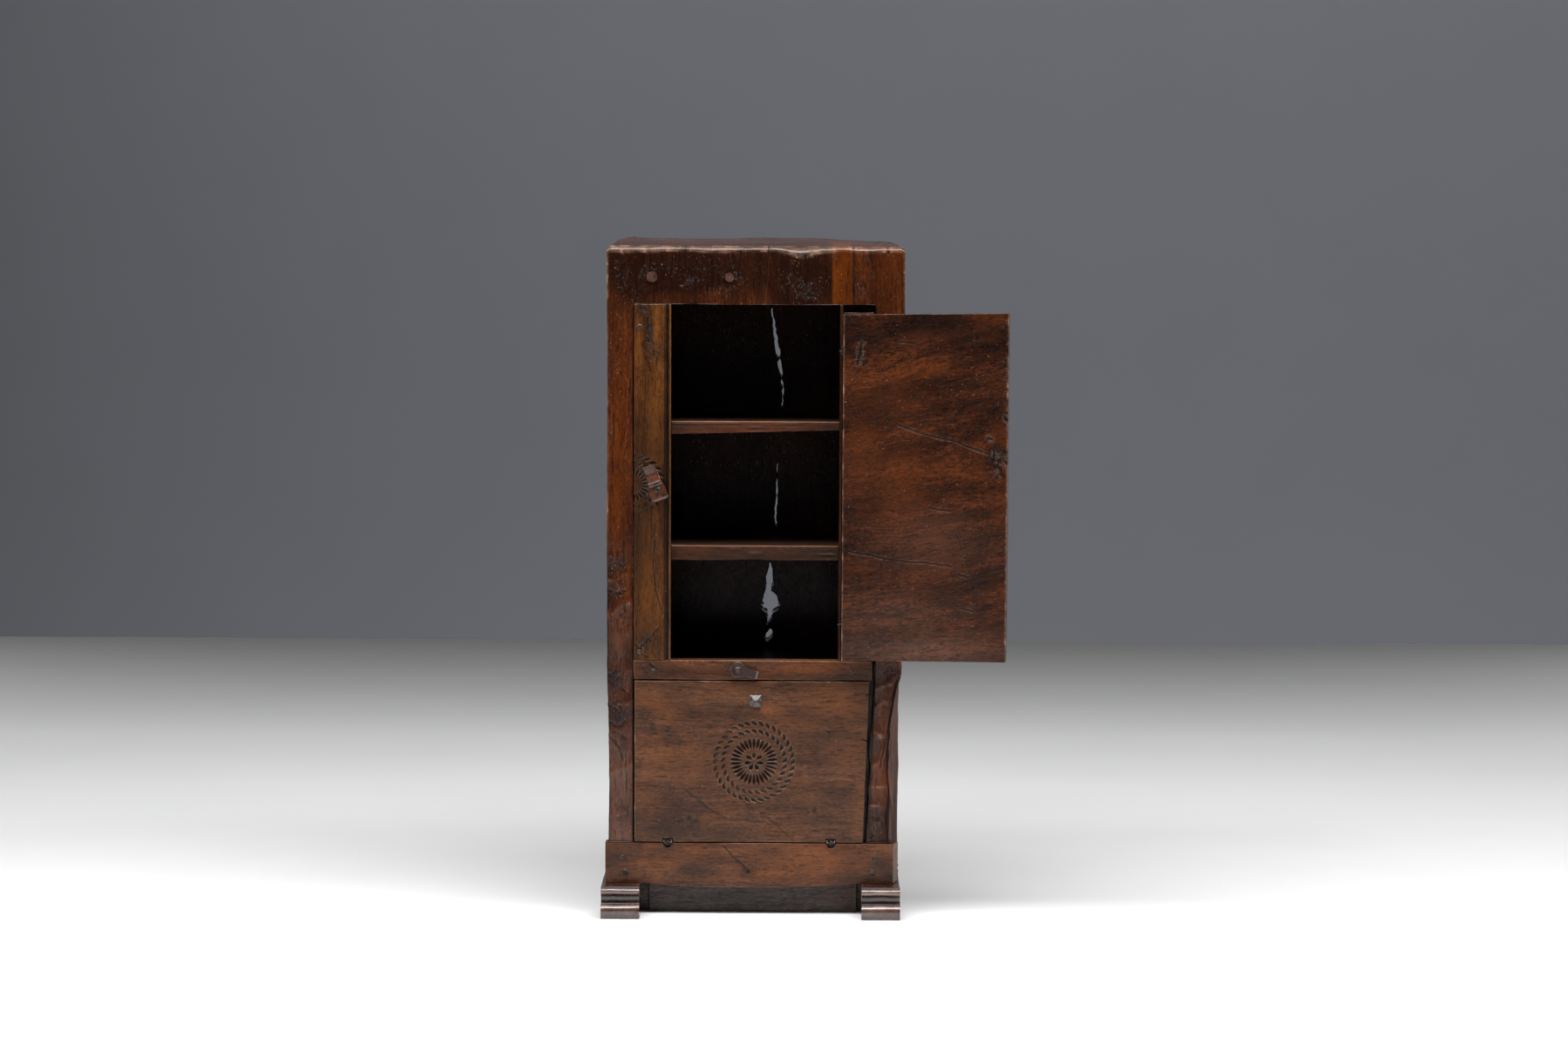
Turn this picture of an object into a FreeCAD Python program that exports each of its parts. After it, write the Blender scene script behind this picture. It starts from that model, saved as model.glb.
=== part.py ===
import FreeCAD, Part
import math
import os
import re

import Sketcher

V = FreeCAD.Vector

# A rustic one-door cupboard, hewn from one hollowed trunk.
# Lengths are millimetres and angles are degrees. X runs to the right as a person faces the
# cupboard, Y towards its back and Z up from the floor. X starts at the middle of the carcase,
# and Y at the middle of the base board's thickness, which is the frame's origin.

SIZES = {
    # hewn trunk: closed at its head and foot, hollowed out from the front
    "carcase_width": 548,
    "carcase_depth": 355,
    "carcase_front_height": 1175,
    "crown_rise": 14,
    "head_height": 107.5,
    "left_stile_width": 51.5,
    "right_stile_top_width": 56.5,
    "right_stile_middle_width": 52,
    "right_stile_foot_width": 67,
    "shoulder_width": 17.5,
    "rebate_depth": 25,
    "hollow_depth": 290,
    "hollow_floor_drop": 5,
    "hollow_corner_radius": 30,
    "back_corner_radius": 45,
    "front_arris_radius": 5,
    "worn_corner_radius": 11,
    # runners under the trunk, base board between them, dowels that pin them
    "foot_height": 60,
    "foot_width": 71.5,
    "left_foot_overhang": 6.5,
    "right_foot_inset": 3,
    "toe_reach": 45,
    "toe_sole_setback": 4,
    "toe_flat_height": 7,
    "toe_swell_radius": 13,
    "toe_swell_top": 27,
    "toe_swell_setback": 2,
    "toe_neck_setback": 13,
    "cove_radius": 12,
    "cove_top": 44,
    "bead_setback": 11,
    "bead_radius": 6,
    "bead_top": 55,
    "dowel_radius": 8,
    "dowel_length": 70,
    "dowel_end_inset": 95,
    "base_board_setback": 30,
    "base_board_thickness": 20,
    "left_shoulder_gap": 16,
    "right_shoulder_gap": 8,
    "tongue_setback": 8,
    "tongue_thickness": 8,
    "tongue_reach": 12,
    # rails across the front
    "bottom_rail_height": 75,
    "bottom_rail_belly": 8,
    "bottom_rail_short_end": 6,
    "middle_rail_height": 36,
    "middle_rail_short_end": 5.5,
    "rail_arris_radius": 1.5,
    # fixed boards on both sides of the door
    "mouth_half_width": 154,
    "left_board_gap": 0.5,
    "right_board_gap": 2.5,
    "board_notch_inset": 6,
    "board_notch_height": 13,
    "board_bead_width": 4.5,
    "board_bead_radius": 1.5,
    "quirk_width": 3,
    "quirk_depth": 2.5,
    "scribed_line_inset": 10.5,
    "scribed_line_width": 1.5,
    "scribed_line_depth": 1.5,
    # shelves, the floor of the upper part, and the bearers under them
    "upper_shelf_place_share": 0.673,
    "upper_shelf_thick_end": 25,
    "upper_shelf_thin_end": 15.5,
    "lower_shelf_place_share": 0.322,
    "lower_shelf_thickness": 27,
    "middle_floor_drop": 11,
    "middle_floor_thickness": 20,
    "shelf_setback": 23,
    "shelf_side_gap": 0.5,
    "shelf_back_gap": 1,
    "shelf_arris_radius": 2,
    "bearer_width": 20,
    "bearer_height": 22,
    "bearer_setback": 45,
    "bearer_back_gap": 35,
    "bearer_nail_inset": 35,
    # plank door, hung at its right edge
    "door_thickness": 22,
    "door_arris_radius": 1.5,
    "door_rise": 5,
    "door_bottom_gap": 4.5,
    "door_top_gap": 10.5,
    "door_hinge_gap": 2.5,
    "door_free_gap": 3.5,
    "door_axis_inset": 6,
    "door_axis_proud": 5,
    "door_open_angle": 170,
    "door_upper_eye_inset": 67.5,
    "door_lower_eye_inset": 63.5,
    # flap, hung at its lower edge
    "flap_height": 300,
    "flap_thickness": 24.5,
    "flap_arris_radius": 1.2,
    "flap_bottom_gap": 2,
    "flap_top_gap": 2.5,
    "flap_left_gap": 2,
    "flap_right_top_gap": 10.5,
    "flap_right_foot_gap": 5,
    "flap_axis_proud": 1.5,
    "flap_left_eye_inset": 62,
    "flap_right_eye_inset": 59,
    # linked eyes bent from iron wire
    "wire_radius": 1.75,
    "link_gap": 0.3,
    "eye_shank_radius": 2.4,
    "eye_shank_length": 26,
    "eye_leg_spread": 7,
    "eye_leg_length": 22,
    "eye_recess_gap": 2.4,
    "eye_recess_length": 20,
    # wooden turn-button on the left board
    "button_inset": 24.2,
    "button_below_middle": 11.7,
    "button_tilt": 20,
    "button_reach": 47.5,
    "button_heel": 21,
    "button_tip_width": 20.5,
    "button_waist_width": 25,
    "button_heel_width": 31,
    "button_plate": 9,
    "button_step_height": 10.5,
    "button_crest_height": 14.5,
    "button_crest": 17,
    "button_saddle_height": 30,
    "button_saddle": 12.5,
    "button_tip": 15,
    "button_bevel": 3.5,
    # wooden latch on the middle rail
    "latch_across": 30,
    "latch_drop": 17,
    "latch_head_radius": 15,
    "latch_shoulder": 15,
    "latch_neck_width": 17.5,
    "latch_tip_width": 14.5,
    "latch_reach": 39.5,
    "latch_thickness": 7,
    "latch_bevel": 3,
    "latch_turned_aside": 75,
    # nails on which the turn-button and the latch turn
    "seat_gap": 0.4,
    "pivot_radius": 2.5,
    "pivot_clearance": 0.08,
    "pivot_bite": 20,
    "pivot_head_gap": 0.35,
    "pivot_head_radius": 6,
    "pivot_head_height": 3,
    # square stud by which the flap is pulled
    "stud_across": 3,
    "stud_drop": 36.5,
    "stud_width": 22,
    "stud_rim": 2.5,
    "stud_point": 9,
    "stud_tip_width": 2,
    "stud_shank_radius": 3.5,
    "stud_shank_length": 17,
    # wooden pegs in the head
    "left_peg_inset": 85,
    "right_peg_inset": 226,
    "peg_drop": 57.5,
    "left_peg_radius": 10,
    "right_peg_radius": 8.2,
    "peg_length": 60,
    "peg_proud": 1.5,
    # forged nails
    "nail_fit": 0.05,
    "nail_radius": 2,
    "nail_head_radius": 4.5,
    "nail_head_height": 1.6,
    "board_nail_foot_inset": 14.5,
    "board_nail_head_inset": 40,
    "board_nail_length": 55,
    "rail_nail_inset": 37,
    "rail_nail_length": 60,
    "bearer_nail_length": 45,
    "spike_radius": 3,
    "spike_head_radius": 6,
    "spike_length": 75,
    "left_spike_inset": 33.5,
    "right_spike_inset": 43,
    "spike_stagger": 4.5,
    "upper_spike_drop": 29,
    "lower_spike_drop": 54.5,
    # one overrun for every cut that runs out of its piece
    "overrun": 1,
}

# Cracks through the trunk's back, from the top of each down. Each station gives its height
# as a share of the door mouth's height, and its left and right edges as shares of the
# mouth's half width.
BACK_CRACK_SHARES = {
    "upper": [
        (0.985, 0.170, 0.182),
        (0.937, 0.192, 0.216),
        (0.898, 0.205, 0.248),
        (0.859, 0.228, 0.285),
        (0.795, 0.282, 0.316),
        (0.756, 0.305, 0.334),
        (0.718, 0.315, 0.331),
        (0.690, 0.308, 0.320),
    ],
    "middle": [
        (0.522, 0.268, 0.278),
        (0.475, 0.246, 0.264),
        (0.429, 0.240, 0.265),
        (0.382, 0.233, 0.254),
        (0.338, 0.238, 0.249),
    ],
    "lower": [
        (0.232, 0.170, 0.182),
        (0.201, 0.140, 0.198),
        (0.167, 0.122, 0.205),
        (0.146, 0.128, 0.190),
        (0.136, 0.115, 0.240),
        (0.123, 0.068, 0.285),
        (0.104, 0.060, 0.296),
        (0.090, 0.095, 0.272),
        (0.080, 0.142, 0.215),
        (0.062, 0.140, 0.185),
        (0.047, 0.136, 0.147),
    ],
    "foot": [
        (0.031, 0.180, 0.205),
        (0.021, 0.145, 0.215),
        (0.008, 0.128, 0.200),
        (-0.004, 0.135, 0.160),
    ],
}

# Shape of the bellied lower edge of the bottom rail, from the left runner to the right one:
# places as shares of the gap between the runners, and drops as shares of the belly.
BELLY_SHARES = [(0.01, 0.0), (0.13, 0.62), (0.41, 1.0), (0.64, 0.88), (0.86, 0.55), (0.99, 0.0)]

doc = FreeCAD.newDocument("cupboard")
sheet = doc.addObject("Spreadsheet::Sheet", "sizes")
for row, (alias, value) in enumerate(SIZES.items(), start=1):
    sheet.set(f"A{row}", alias)
    sheet.set(f"B{row}", str(value))
    sheet.setAlias(f"B{row}", alias)
doc.recompute()

# Heights and places that several pieces share, worked out from the sheet.
PLACES = {
    "half_carcase": "carcase_width / 2",
    "front": "base_board_setback + base_board_thickness / 2",
    "rebate_left": "half_carcase - left_stile_width",
    "rebate_right_top": "half_carcase - right_stile_top_width",
    "rebate_right_middle": "half_carcase - right_stile_middle_width",
    "rebate_right_foot": "half_carcase - right_stile_foot_width",
    "half_hollow": "rebate_right_top - shoulder_width",
    "carcase_top": "foot_height + carcase_front_height",
    "head_underside": "carcase_top - head_height",
    "rail_top": "foot_height + bottom_rail_height",
    "hollow_floor": "rail_top - hollow_floor_drop",
    "flap_foot": "rail_top + flap_bottom_gap",
    "flap_head": "flap_foot + flap_height",
    "sill_underside": "flap_head + flap_top_gap",
    "sill": "sill_underside + middle_rail_height",
    "mouth_height": "head_underside - sill",
    "upper_shelf_top": "sill + mouth_height * upper_shelf_place_share",
    "lower_shelf_top": "sill + mouth_height * lower_shelf_place_share",
    "middle_floor_top": "sill - middle_floor_drop",
    "shelf_half_width": "half_hollow - shelf_side_gap",
    "left_foot_side": "half_carcase + left_foot_overhang",
    "right_foot_side": "half_carcase - right_foot_inset",
    "left_foot_inside": "left_foot_side - foot_width",
    "right_foot_inside": "right_foot_side - foot_width",
    "rail_right_end": "half_carcase - bottom_rail_short_end",
    "middle_rail_left": "rebate_left - left_board_gap",
    "middle_rail_right": "rebate_right_middle - middle_rail_short_end",
    "left_board_edge": "rebate_left - left_board_gap",
    "right_board_edge": "rebate_right_top - right_board_gap",
    "door_axis": "mouth_half_width - door_hinge_gap + door_axis_inset",
    "door_far_edge": "door_axis + mouth_half_width - door_free_gap",
    "door_foot": "sill + door_bottom_gap",
    "door_head": "head_underside - door_top_gap - door_rise",
    "upper_eye_height": "door_head - door_upper_eye_inset",
    "lower_eye_height": "door_foot + door_lower_eye_inset",
    "flap_axis": "rail_top + flap_bottom_gap / 2",
    "flap_left": "rebate_left - flap_left_gap",
    "flap_right_top": "rebate_right_middle - flap_right_top_gap",
    "flap_right_foot": "rebate_right_foot - flap_right_foot_gap",
    "flap_left_eye": "-(flap_left - flap_left_eye_inset)",
    "flap_right_eye": "flap_right_foot - flap_right_eye_inset",
    "eye_ring_radius": "2 * wire_radius + link_gap",
    "eye_recess_radius": "eye_ring_radius + wire_radius + eye_recess_gap",
    "button_across": "-(mouth_half_width + button_inset)",
    "button_height": "sill + mouth_height / 2 - button_below_middle",
    "latch_height": "sill - latch_drop",
    "stud_height": "flap_head - stud_drop",
    "peg_height": "carcase_top - peg_drop",
    "left_board_nail": "-(half_hollow + rebate_left) / 2",
    "right_board_nail": "(half_hollow + right_board_edge) / 2",
    "middle_floor_middle": "middle_floor_top - middle_floor_thickness / 2",
    "bearer_length": "hollow_depth - bearer_setback - bearer_back_gap",
}
for row, (alias, expression) in enumerate(PLACES.items(), start=len(SIZES) + 2):
    sheet.set(f"A{row}", alias)
    sheet.set(f"B{row}", "=" + expression)
    sheet.setAlias(f"B{row}", alias)
    doc.recompute()


def sheet_name(word):
    """A matched word, with the sheet's own name before it where the sheet holds it."""
    known = word.group() in SIZES or word.group() in PLACES
    return "sizes." + word.group() if known else word.group()


def bound(expression):
    """The expression with every name of the sheet written as the sheet's own."""
    return re.sub(r"[a-z][a-z_]*", sheet_name, expression)


def value(expression):
    """What an expression comes to with the sheet as it stands."""
    return float(sheet.evalExpression(bound(expression)))


def bind(thing, **properties):
    """Tie properties to expressions on the sheet; a double underscore stands for a dot."""
    for name, expression in properties.items():
        thing.setExpression(name.replace("__", "."), bound(expression))


def place(thing, across="0", behind_front="0", height="0", axis=None, turn=None):
    """Put a thing at a place measured from the middle, the carcase's front and the floor."""
    if axis is not None:
        thing.Placement = FreeCAD.Placement(V(), FreeCAD.Rotation(V(*axis), value(turn)))
        bind(thing, Placement__Rotation__Angle=turn)
    bind(
        thing,
        Placement__Base__x=across,
        Placement__Base__y=f"{behind_front} - front",
        Placement__Base__z=height,
    )


def body(label):
    """An empty body in the frame whose Y starts at the carcase's front."""
    piece = doc.addObject("PartDesign::Body", label)
    piece.Label = label
    place(piece)
    return piece


def sketch_on(piece, role, name, lift):
    """An empty sketch on one of the body's own planes, lifted along the plane's normal."""
    plane = [f for f in piece.Origin.OriginFeatures if f.Role == role][0]
    sketch = piece.newObject("Sketcher::SketchObject", name)
    sketch.AttachmentSupport = [(plane, "")]
    sketch.MapMode = "FlatFace"
    bind(sketch, AttachmentOffset__Base__z=lift)
    return sketch


def pin_point(sketch, edge, end, point):
    """Tie one end of an edge, or a circle's centre, to a pair of expressions."""
    for kind, expression in zip(("DistanceX", "DistanceY"), point):
        rule = Sketcher.Constraint(kind, -1, 1, edge, end, value(expression))
        index = sketch.addConstraint(rule)
        sketch.setExpression(f"Constraints[{index}]", bound(expression))


def pin_radius(sketch, edge, radius):
    """Tie the radius of an arc or a circle to an expression."""
    index = sketch.addConstraint(Sketcher.Constraint("Radius", edge, value(radius)))
    sketch.setExpression(f"Constraints[{index}]", bound(radius))


def arc_centre(start, end, radius, side):
    """The centre of the arc through two points that lies on the given side of its chord."""
    middle = (start + end) / 2
    half = (end - start) / 2
    rise = math.sqrt(max(radius**2 - half.Length**2, 0))
    normal = V(-half.y, half.x, 0).normalize()
    return middle + normal * rise * side


def outline(piece, role, name, points, arcs=None, lift="0"):
    """A closed outline through the points. An arc is given by the number of the edge that it
    takes, with its radius and the side of the edge where its centre lies: 1 left, -1 right."""
    arcs = arcs or {}
    sketch = sketch_on(piece, role, name, lift)
    corners = [V(value(x), value(y), 0) for x, y in points]
    ends = []
    for edge, (start, end) in enumerate(zip(corners, corners[1:] + corners[:1])):
        if edge not in arcs:
            sketch.addGeometry(Part.LineSegment(start, end))
            ends.append((1, 2))
            continue
        radius, side = arcs[edge]
        centre = arc_centre(start, end, value(radius), side)
        turn = [math.atan2(p.y - centre.y, p.x - centre.x) for p in (start, end)]
        circle = Part.Circle(centre, V(0, 0, 1), value(radius))
        sketch.addGeometry(Part.ArcOfCircle(circle, *(turn if side > 0 else turn[::-1])))
        ends.append((1, 2) if side > 0 else (2, 1))
    for edge, (first, last) in enumerate(ends):
        following = (edge + 1) % len(ends)
        joint = Sketcher.Constraint("Coincident", edge, last, following, ends[following][0])
        sketch.addConstraint(joint)
    for edge, point in enumerate(points):
        pin_point(sketch, edge, ends[edge][0], point)
    for edge, (radius, side) in arcs.items():
        pin_radius(sketch, edge, radius)
    return sketch


def rectangle(piece, role, name, left, bottom, right, top, lift="0"):
    """A rectangle between four expressions."""
    corners = [(left, bottom), (right, bottom), (right, top), (left, top)]
    return outline(piece, role, name, corners, lift=lift)


def pad(piece, sketch, length, backwards=False, both_ways=False):
    """Solid grown from a sketch."""
    feature = piece.newObject("PartDesign::Pad", sketch.Name + "_pad")
    feature.Profile = sketch
    feature.Reversed = backwards
    feature.Midplane = both_ways
    bind(feature, Length=length)
    doc.recompute()
    return feature


def pocket(piece, sketch, length, backwards=False, both_ways=False):
    """Hollow cut from a sketch; it has to take something away."""
    before = piece.Shape.Volume
    feature = piece.newObject("PartDesign::Pocket", sketch.Name + "_pocket")
    feature.Profile = sketch
    feature.Reversed = backwards
    feature.Midplane = both_ways
    bind(feature, Length=length)
    doc.recompute()
    if not piece.Shape.Volume < before:
        raise RuntimeError(sketch.Name + " cuts nothing")
    return feature


def edges_where(shape, wanted):
    """Names of the straight edges whose direction and middle the test accepts."""
    names = []
    for number, edge in enumerate(shape.Edges, start=1):
        if edge.Degenerated or edge.Curve.TypeId != "Part::GeomLine":
            continue
        run = edge.Vertexes[-1].Point - edge.Vertexes[0].Point
        if run.Length and wanted(run.normalize(), edge.CenterOfMass):
            names.append(f"Edge{number}")
    return names


def near(a, b):
    """Whether two lengths agree closely enough to name the same edge."""
    return abs(a - b) < value("overrun") / 10


def round_edges(piece, name, radius, wanted):
    """Round the chosen edges of the body's last feature."""
    last = piece.Tip
    feature = piece.newObject("PartDesign::Fillet", name)
    feature.Base = (last, edges_where(last.Shape, wanted))
    bind(feature, Radius=radius)
    doc.recompute()
    return feature


def cylinder(name, radius, length, spot, towards=(0, 0, 1), start="0"):
    """A cylinder whose axis leaves the spot in one direction, from start onwards. The spot's
    Y counts from the carcase's front."""
    rod = doc.addObject("Part::Cylinder", name)
    bind(rod, Radius=radius, Height=length)
    turn = FreeCAD.Rotation(V(0, 0, 1), V(*towards))
    rod.Placement = FreeCAD.Placement(V(), turn)
    unit = V(*towards).normalize()
    x, y, z = spot
    bind(
        rod,
        Placement__Base__x=f"{x} + ({start}) * {unit.x:.9f}",
        Placement__Base__y=f"{y} - front + ({start}) * {unit.y:.9f}",
        Placement__Base__z=f"{z} + ({start}) * {unit.z:.9f}",
    )
    return rod


def fused(name, pieces):
    """Several overlapping solids as one."""
    whole = doc.addObject("Part::MultiFuse", name)
    whole.Shapes = pieces
    return whole


def cut(label, base, tools):
    """The base with every tool taken away."""
    result = doc.addObject("Part::Cut", label)
    result.Base = base
    result.Tool = tools[0] if len(tools) == 1 else fused(label + "_tools", tools)
    result.Label = label
    return result


def group(label, pieces):
    """Separate like solids under one name."""
    result = doc.addObject("Part::Compound", label)
    result.Links = pieces
    result.Label = label
    return result


def nail(name, spot, inwards, radius, length, head_radius, head_height):
    """A forged nail: its shank goes inwards from the spot, its flat cone of a head outwards."""
    shank = cylinder(name + "_shank", radius, length, spot, inwards)
    outwards = tuple(-c for c in inwards)
    head = doc.addObject("Part::Cone", name + "_head")
    bind(head, Radius1=head_radius, Radius2=f"{head_radius} / 2", Height=head_height)
    head.Placement = FreeCAD.Placement(V(), FreeCAD.Rotation(V(0, 0, 1), V(*outwards)))
    x, y, z = spot
    bind(
        head,
        Placement__Base__x=x,
        Placement__Base__y=f"{y} - front",
        Placement__Base__z=z,
    )
    return fused(name, [shank, head])


def nail_hole(name, spot, inwards, radius, length):
    """The hole that a nail's shank fills."""
    return cylinder(
        name, f"{radius} + nail_fit", f"{length} + overrun", spot, inwards, start="-overrun / 2"
    )


FINISHED = {}


def finish(label, thing):
    """Keep a sub-part under its own name."""
    thing.Label = label
    FINISHED[label] = thing
    return thing


INTO = (0, 1, 0)

# Spots where the fasteners go, shared by each fastener and by the holes for it.
SPIKES = {}
for side, end, inset, inward in (
    ("left", "-half_carcase", "left_spike_inset", 1),
    ("right", "rail_right_end", "right_spike_inset", -1),
):
    for level, drop, shift in (
        ("upper", "upper_spike_drop", "0"),
        ("lower", "lower_spike_drop", "spike_stagger"),
    ):
        across = f"{end} + {inward} * ({inset} + {shift})"
        SPIKES[f"{side}_{level}"] = (across, "0", f"rail_top - {drop}")

BOARD_NAILS = {
    f"{side}_{level}": (f"{side}_board_nail", "0", height)
    for side in ("left", "right")
    for level, height in (
        ("lower", "sill + board_nail_foot_inset"),
        ("upper", "head_underside - board_nail_head_inset"),
    )
}

RAIL_NAILS = {
    "left": ("-middle_rail_left + rail_nail_inset", "0", "middle_floor_middle"),
    "right": ("middle_rail_right - rail_nail_inset", "0", "middle_floor_middle"),
}

PEGS = {
    "left": ("-half_carcase + left_peg_inset", "-peg_proud", "peg_height"),
    "right": ("-half_carcase + right_peg_inset", "-peg_proud", "peg_height"),
}

DOWELS = {
    f"{side}_{end}": (across, depth, "foot_height - dowel_length / 2")
    for side, across in (
        ("left", "-left_foot_side + foot_width / 2"),
        ("right", "right_foot_side - foot_width / 2"),
    )
    for end, depth in (
        ("front", "dowel_end_inset"),
        ("back", "carcase_depth - dowel_end_inset"),
    )
}

SHELF_UNDERSIDES = {
    ("upper_shelf", "left"): "upper_shelf_top - upper_shelf_thick_end",
    ("upper_shelf", "right"): "upper_shelf_top - upper_shelf_thin_end",
    ("lower_shelf", "left"): "lower_shelf_top - lower_shelf_thickness",
    ("lower_shelf", "right"): "lower_shelf_top - lower_shelf_thickness",
    ("middle_floor", "left"): "middle_floor_top - middle_floor_thickness",
    ("middle_floor", "right"): "middle_floor_top - middle_floor_thickness",
}

BEARER_NAILS = {
    f"{shelf}_{side}_{end}": (
        f"{sign} * (half_hollow - bearer_width)",
        depth,
        f"{underside} - bearer_height / 2",
    )
    for (shelf, side), underside in SHELF_UNDERSIDES.items()
    for sign in (-1 if side == "left" else 1,)
    for end, depth in (
        ("front", "bearer_setback + bearer_nail_inset"),
        ("back", "bearer_setback + bearer_length - bearer_nail_inset"),
    )
}


# Hewn trunk

def crack_outline(stations):
    """A crack's outline, down its left edge and up its right."""
    down = [(f"mouth_half_width * {left}", f"sill + mouth_height * {level}")
            for level, left, right in stations]
    up = [(f"mouth_half_width * {right}", f"sill + mouth_height * {level}")
          for level, left, right in reversed(stations)]
    return down + up


trunk = body("trunk_block")
side_view = outline(trunk, "YZ_Plane", "trunk_side", [
    ("0", "foot_height"),
    ("carcase_depth", "foot_height"),
    ("carcase_depth", "carcase_top + crown_rise"),
    ("0", "carcase_top"),
])
pad(trunk, side_view, "carcase_width", both_ways=True)
round_edges(trunk, "trunk_back_corners", "back_corner_radius",
            lambda run, middle: near(abs(run.z), 1) and near(middle.y, value("carcase_depth")))
round_edges(trunk, "trunk_worn_corner", "worn_corner_radius",
            lambda run, middle: near(middle.x, value("half_carcase"))
            and middle.z > value("carcase_top"))
round_edges(trunk, "trunk_front_arrises", "front_arris_radius",
            lambda run, middle: near(middle.y, 0) and middle.z > value("rail_top"))
hollow = rectangle(trunk, "XZ_Plane", "hollow", "-half_hollow", "hollow_floor",
                   "half_hollow", "head_underside")
pocket(trunk, hollow, "hollow_depth")
round_edges(trunk, "hollow_corners", "hollow_corner_radius",
            lambda run, middle: near(abs(run.z), 1) and near(middle.y, value("hollow_depth"))
            and near(abs(middle.x), value("half_hollow")))
rebate = outline(trunk, "XZ_Plane", "front_rebate", [
    ("-rebate_left", "rail_top - overrun"),
    ("rebate_right_foot", "rail_top - overrun"),
    ("rebate_right_foot", "rail_top"),
    ("rebate_right_middle", "sill_underside"),
    ("rebate_right_top", "head_underside"),
    ("-rebate_left", "head_underside"),
])
pocket(trunk, rebate, "rebate_depth")
rail_seat = rectangle(trunk, "XZ_Plane", "rail_seat", "-half_carcase - overrun",
                      "foot_height - overrun", "half_carcase + overrun", "rail_top")
pocket(trunk, rail_seat, "rebate_depth")
for name, stations in BACK_CRACK_SHARES.items():
    crack = outline(trunk, "XZ_Plane", f"{name}_crack", crack_outline(stations))
    pocket(trunk, crack, "carcase_depth + overrun")

trunk_holes = [
    nail_hole(f"trunk_spike_{name}", spot, INTO, "spike_radius", "spike_length")
    for name, spot in SPIKES.items()
]
trunk_holes += [
    nail_hole(f"trunk_board_nail_{name}", spot, INTO, "nail_radius", "board_nail_length")
    for name, spot in BOARD_NAILS.items()
]
trunk_holes += [
    nail_hole(f"trunk_bearer_nail_{name}", spot, (1 if "_right_" in name else -1, 0, 0),
              "nail_radius", "bearer_nail_length")
    for name, spot in BEARER_NAILS.items()
]
trunk_holes += [
    cylinder(f"trunk_peg_{side}", f"{side}_peg_radius", "peg_length", spot, INTO)
    for side, spot in PEGS.items()
]
trunk_holes += [
    cylinder(f"trunk_dowel_{name}", "dowel_radius", "dowel_length", spot)
    for name, spot in DOWELS.items()
]
finish("hollowed_trunk", cut("hollowed_trunk", trunk, trunk_holes))

# Pegs driven into the head

for side, spot in PEGS.items():
    finish(f"{side}_head_peg",
           cylinder(f"{side}_head_peg", f"{side}_peg_radius", "peg_length", spot, INTO))

# Bottom rail, nailed over the foot of the trunk

rail = body("bottom_rail_board")
belly = [
    (f"-left_foot_inside + (left_foot_inside + right_foot_inside) * {along}",
     f"foot_height - bottom_rail_belly * {drop}")
    for along, drop in BELLY_SHARES
]
rail_face = outline(rail, "XZ_Plane", "bottom_rail_face",
                    [("-half_carcase", "foot_height")] + belly + [
                        ("rail_right_end", "foot_height"),
                        ("rail_right_end", "rail_top"),
                        ("-half_carcase", "rail_top"),
                    ])
pad(rail, rail_face, "rebate_depth", backwards=True)
round_edges(rail, "bottom_rail_arris", "rail_arris_radius",
            lambda run, middle: near(abs(run.x), 1) and near(middle.y, 0)
            and near(middle.z, value("rail_top")))
rail_tools = [
    nail_hole(f"rail_spike_{name}", spot, INTO, "spike_radius", "spike_length")
    for name, spot in SPIKES.items()
]
EYE_SPOTS = {
    "left": ("flap_left_eye", "-flap_axis_proud", "flap_axis"),
    "right": ("flap_right_eye", "-flap_axis_proud", "flap_axis"),
}
DOWN_AND_IN = (0, 1, -1)
for side, (x, y, z) in EYE_SPOTS.items():
    rail_tools.append(cylinder(f"rail_recess_{side}", "eye_recess_radius", "eye_recess_length",
                               (f"{x} - eye_recess_length / 2", y, z), (1, 0, 0)))
    rail_tools.append(cylinder(f"rail_eye_hole_{side}", "eye_shank_radius + nail_fit",
                               "eye_shank_length", (x, y, z), DOWN_AND_IN,
                               start="eye_ring_radius"))
finish("bottom_rail", cut("bottom_rail", rail, rail_tools))
finish("bottom_rail_spikes", group("bottom_rail_spikes", [
    nail(f"spike_{name}", spot, INTO, "spike_radius", "spike_length",
         "spike_head_radius", "nail_head_height")
    for name, spot in SPIKES.items()
]))

# Middle rail, the sill between the door and the flap

LATCH_SPOT = ("-latch_across", "0", "latch_height")
middle = body("middle_rail_board")
middle_face = rectangle(middle, "XZ_Plane", "middle_rail_face", "-middle_rail_left",
                        "sill_underside", "middle_rail_right", "sill")
pad(middle, middle_face, "rebate_depth", backwards=True)
round_edges(middle, "middle_rail_arris", "rail_arris_radius",
            lambda run, middle_point: near(abs(run.x), 1) and near(middle_point.y, 0))
middle_tools = [
    nail_hole(f"middle_rail_hole_{side}", spot, INTO, "nail_radius", "rail_nail_length")
    for side, spot in RAIL_NAILS.items()
]
middle_tools.append(nail_hole("latch_hole", LATCH_SPOT, INTO, "pivot_radius", "pivot_bite"))
finish("middle_rail", cut("middle_rail", middle, middle_tools))
finish("middle_rail_nails", group("middle_rail_nails", [
    nail(f"rail_nail_{side}", spot, INTO, "nail_radius", "rail_nail_length",
         "nail_head_radius", "nail_head_height")
    for side, spot in RAIL_NAILS.items()
]))

# Fixed boards on both sides of the door, with a bead worked on the inner edge

BUTTON_SPOT = ("button_across", "0", "button_height")
DOOR_EYE_SPOTS = {
    "upper": ("door_axis", "-door_axis_proud", "upper_eye_height"),
    "lower": ("door_axis", "-door_axis_proud", "lower_eye_height"),
}
OUT_AND_IN = (1, 1, 0)


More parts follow.
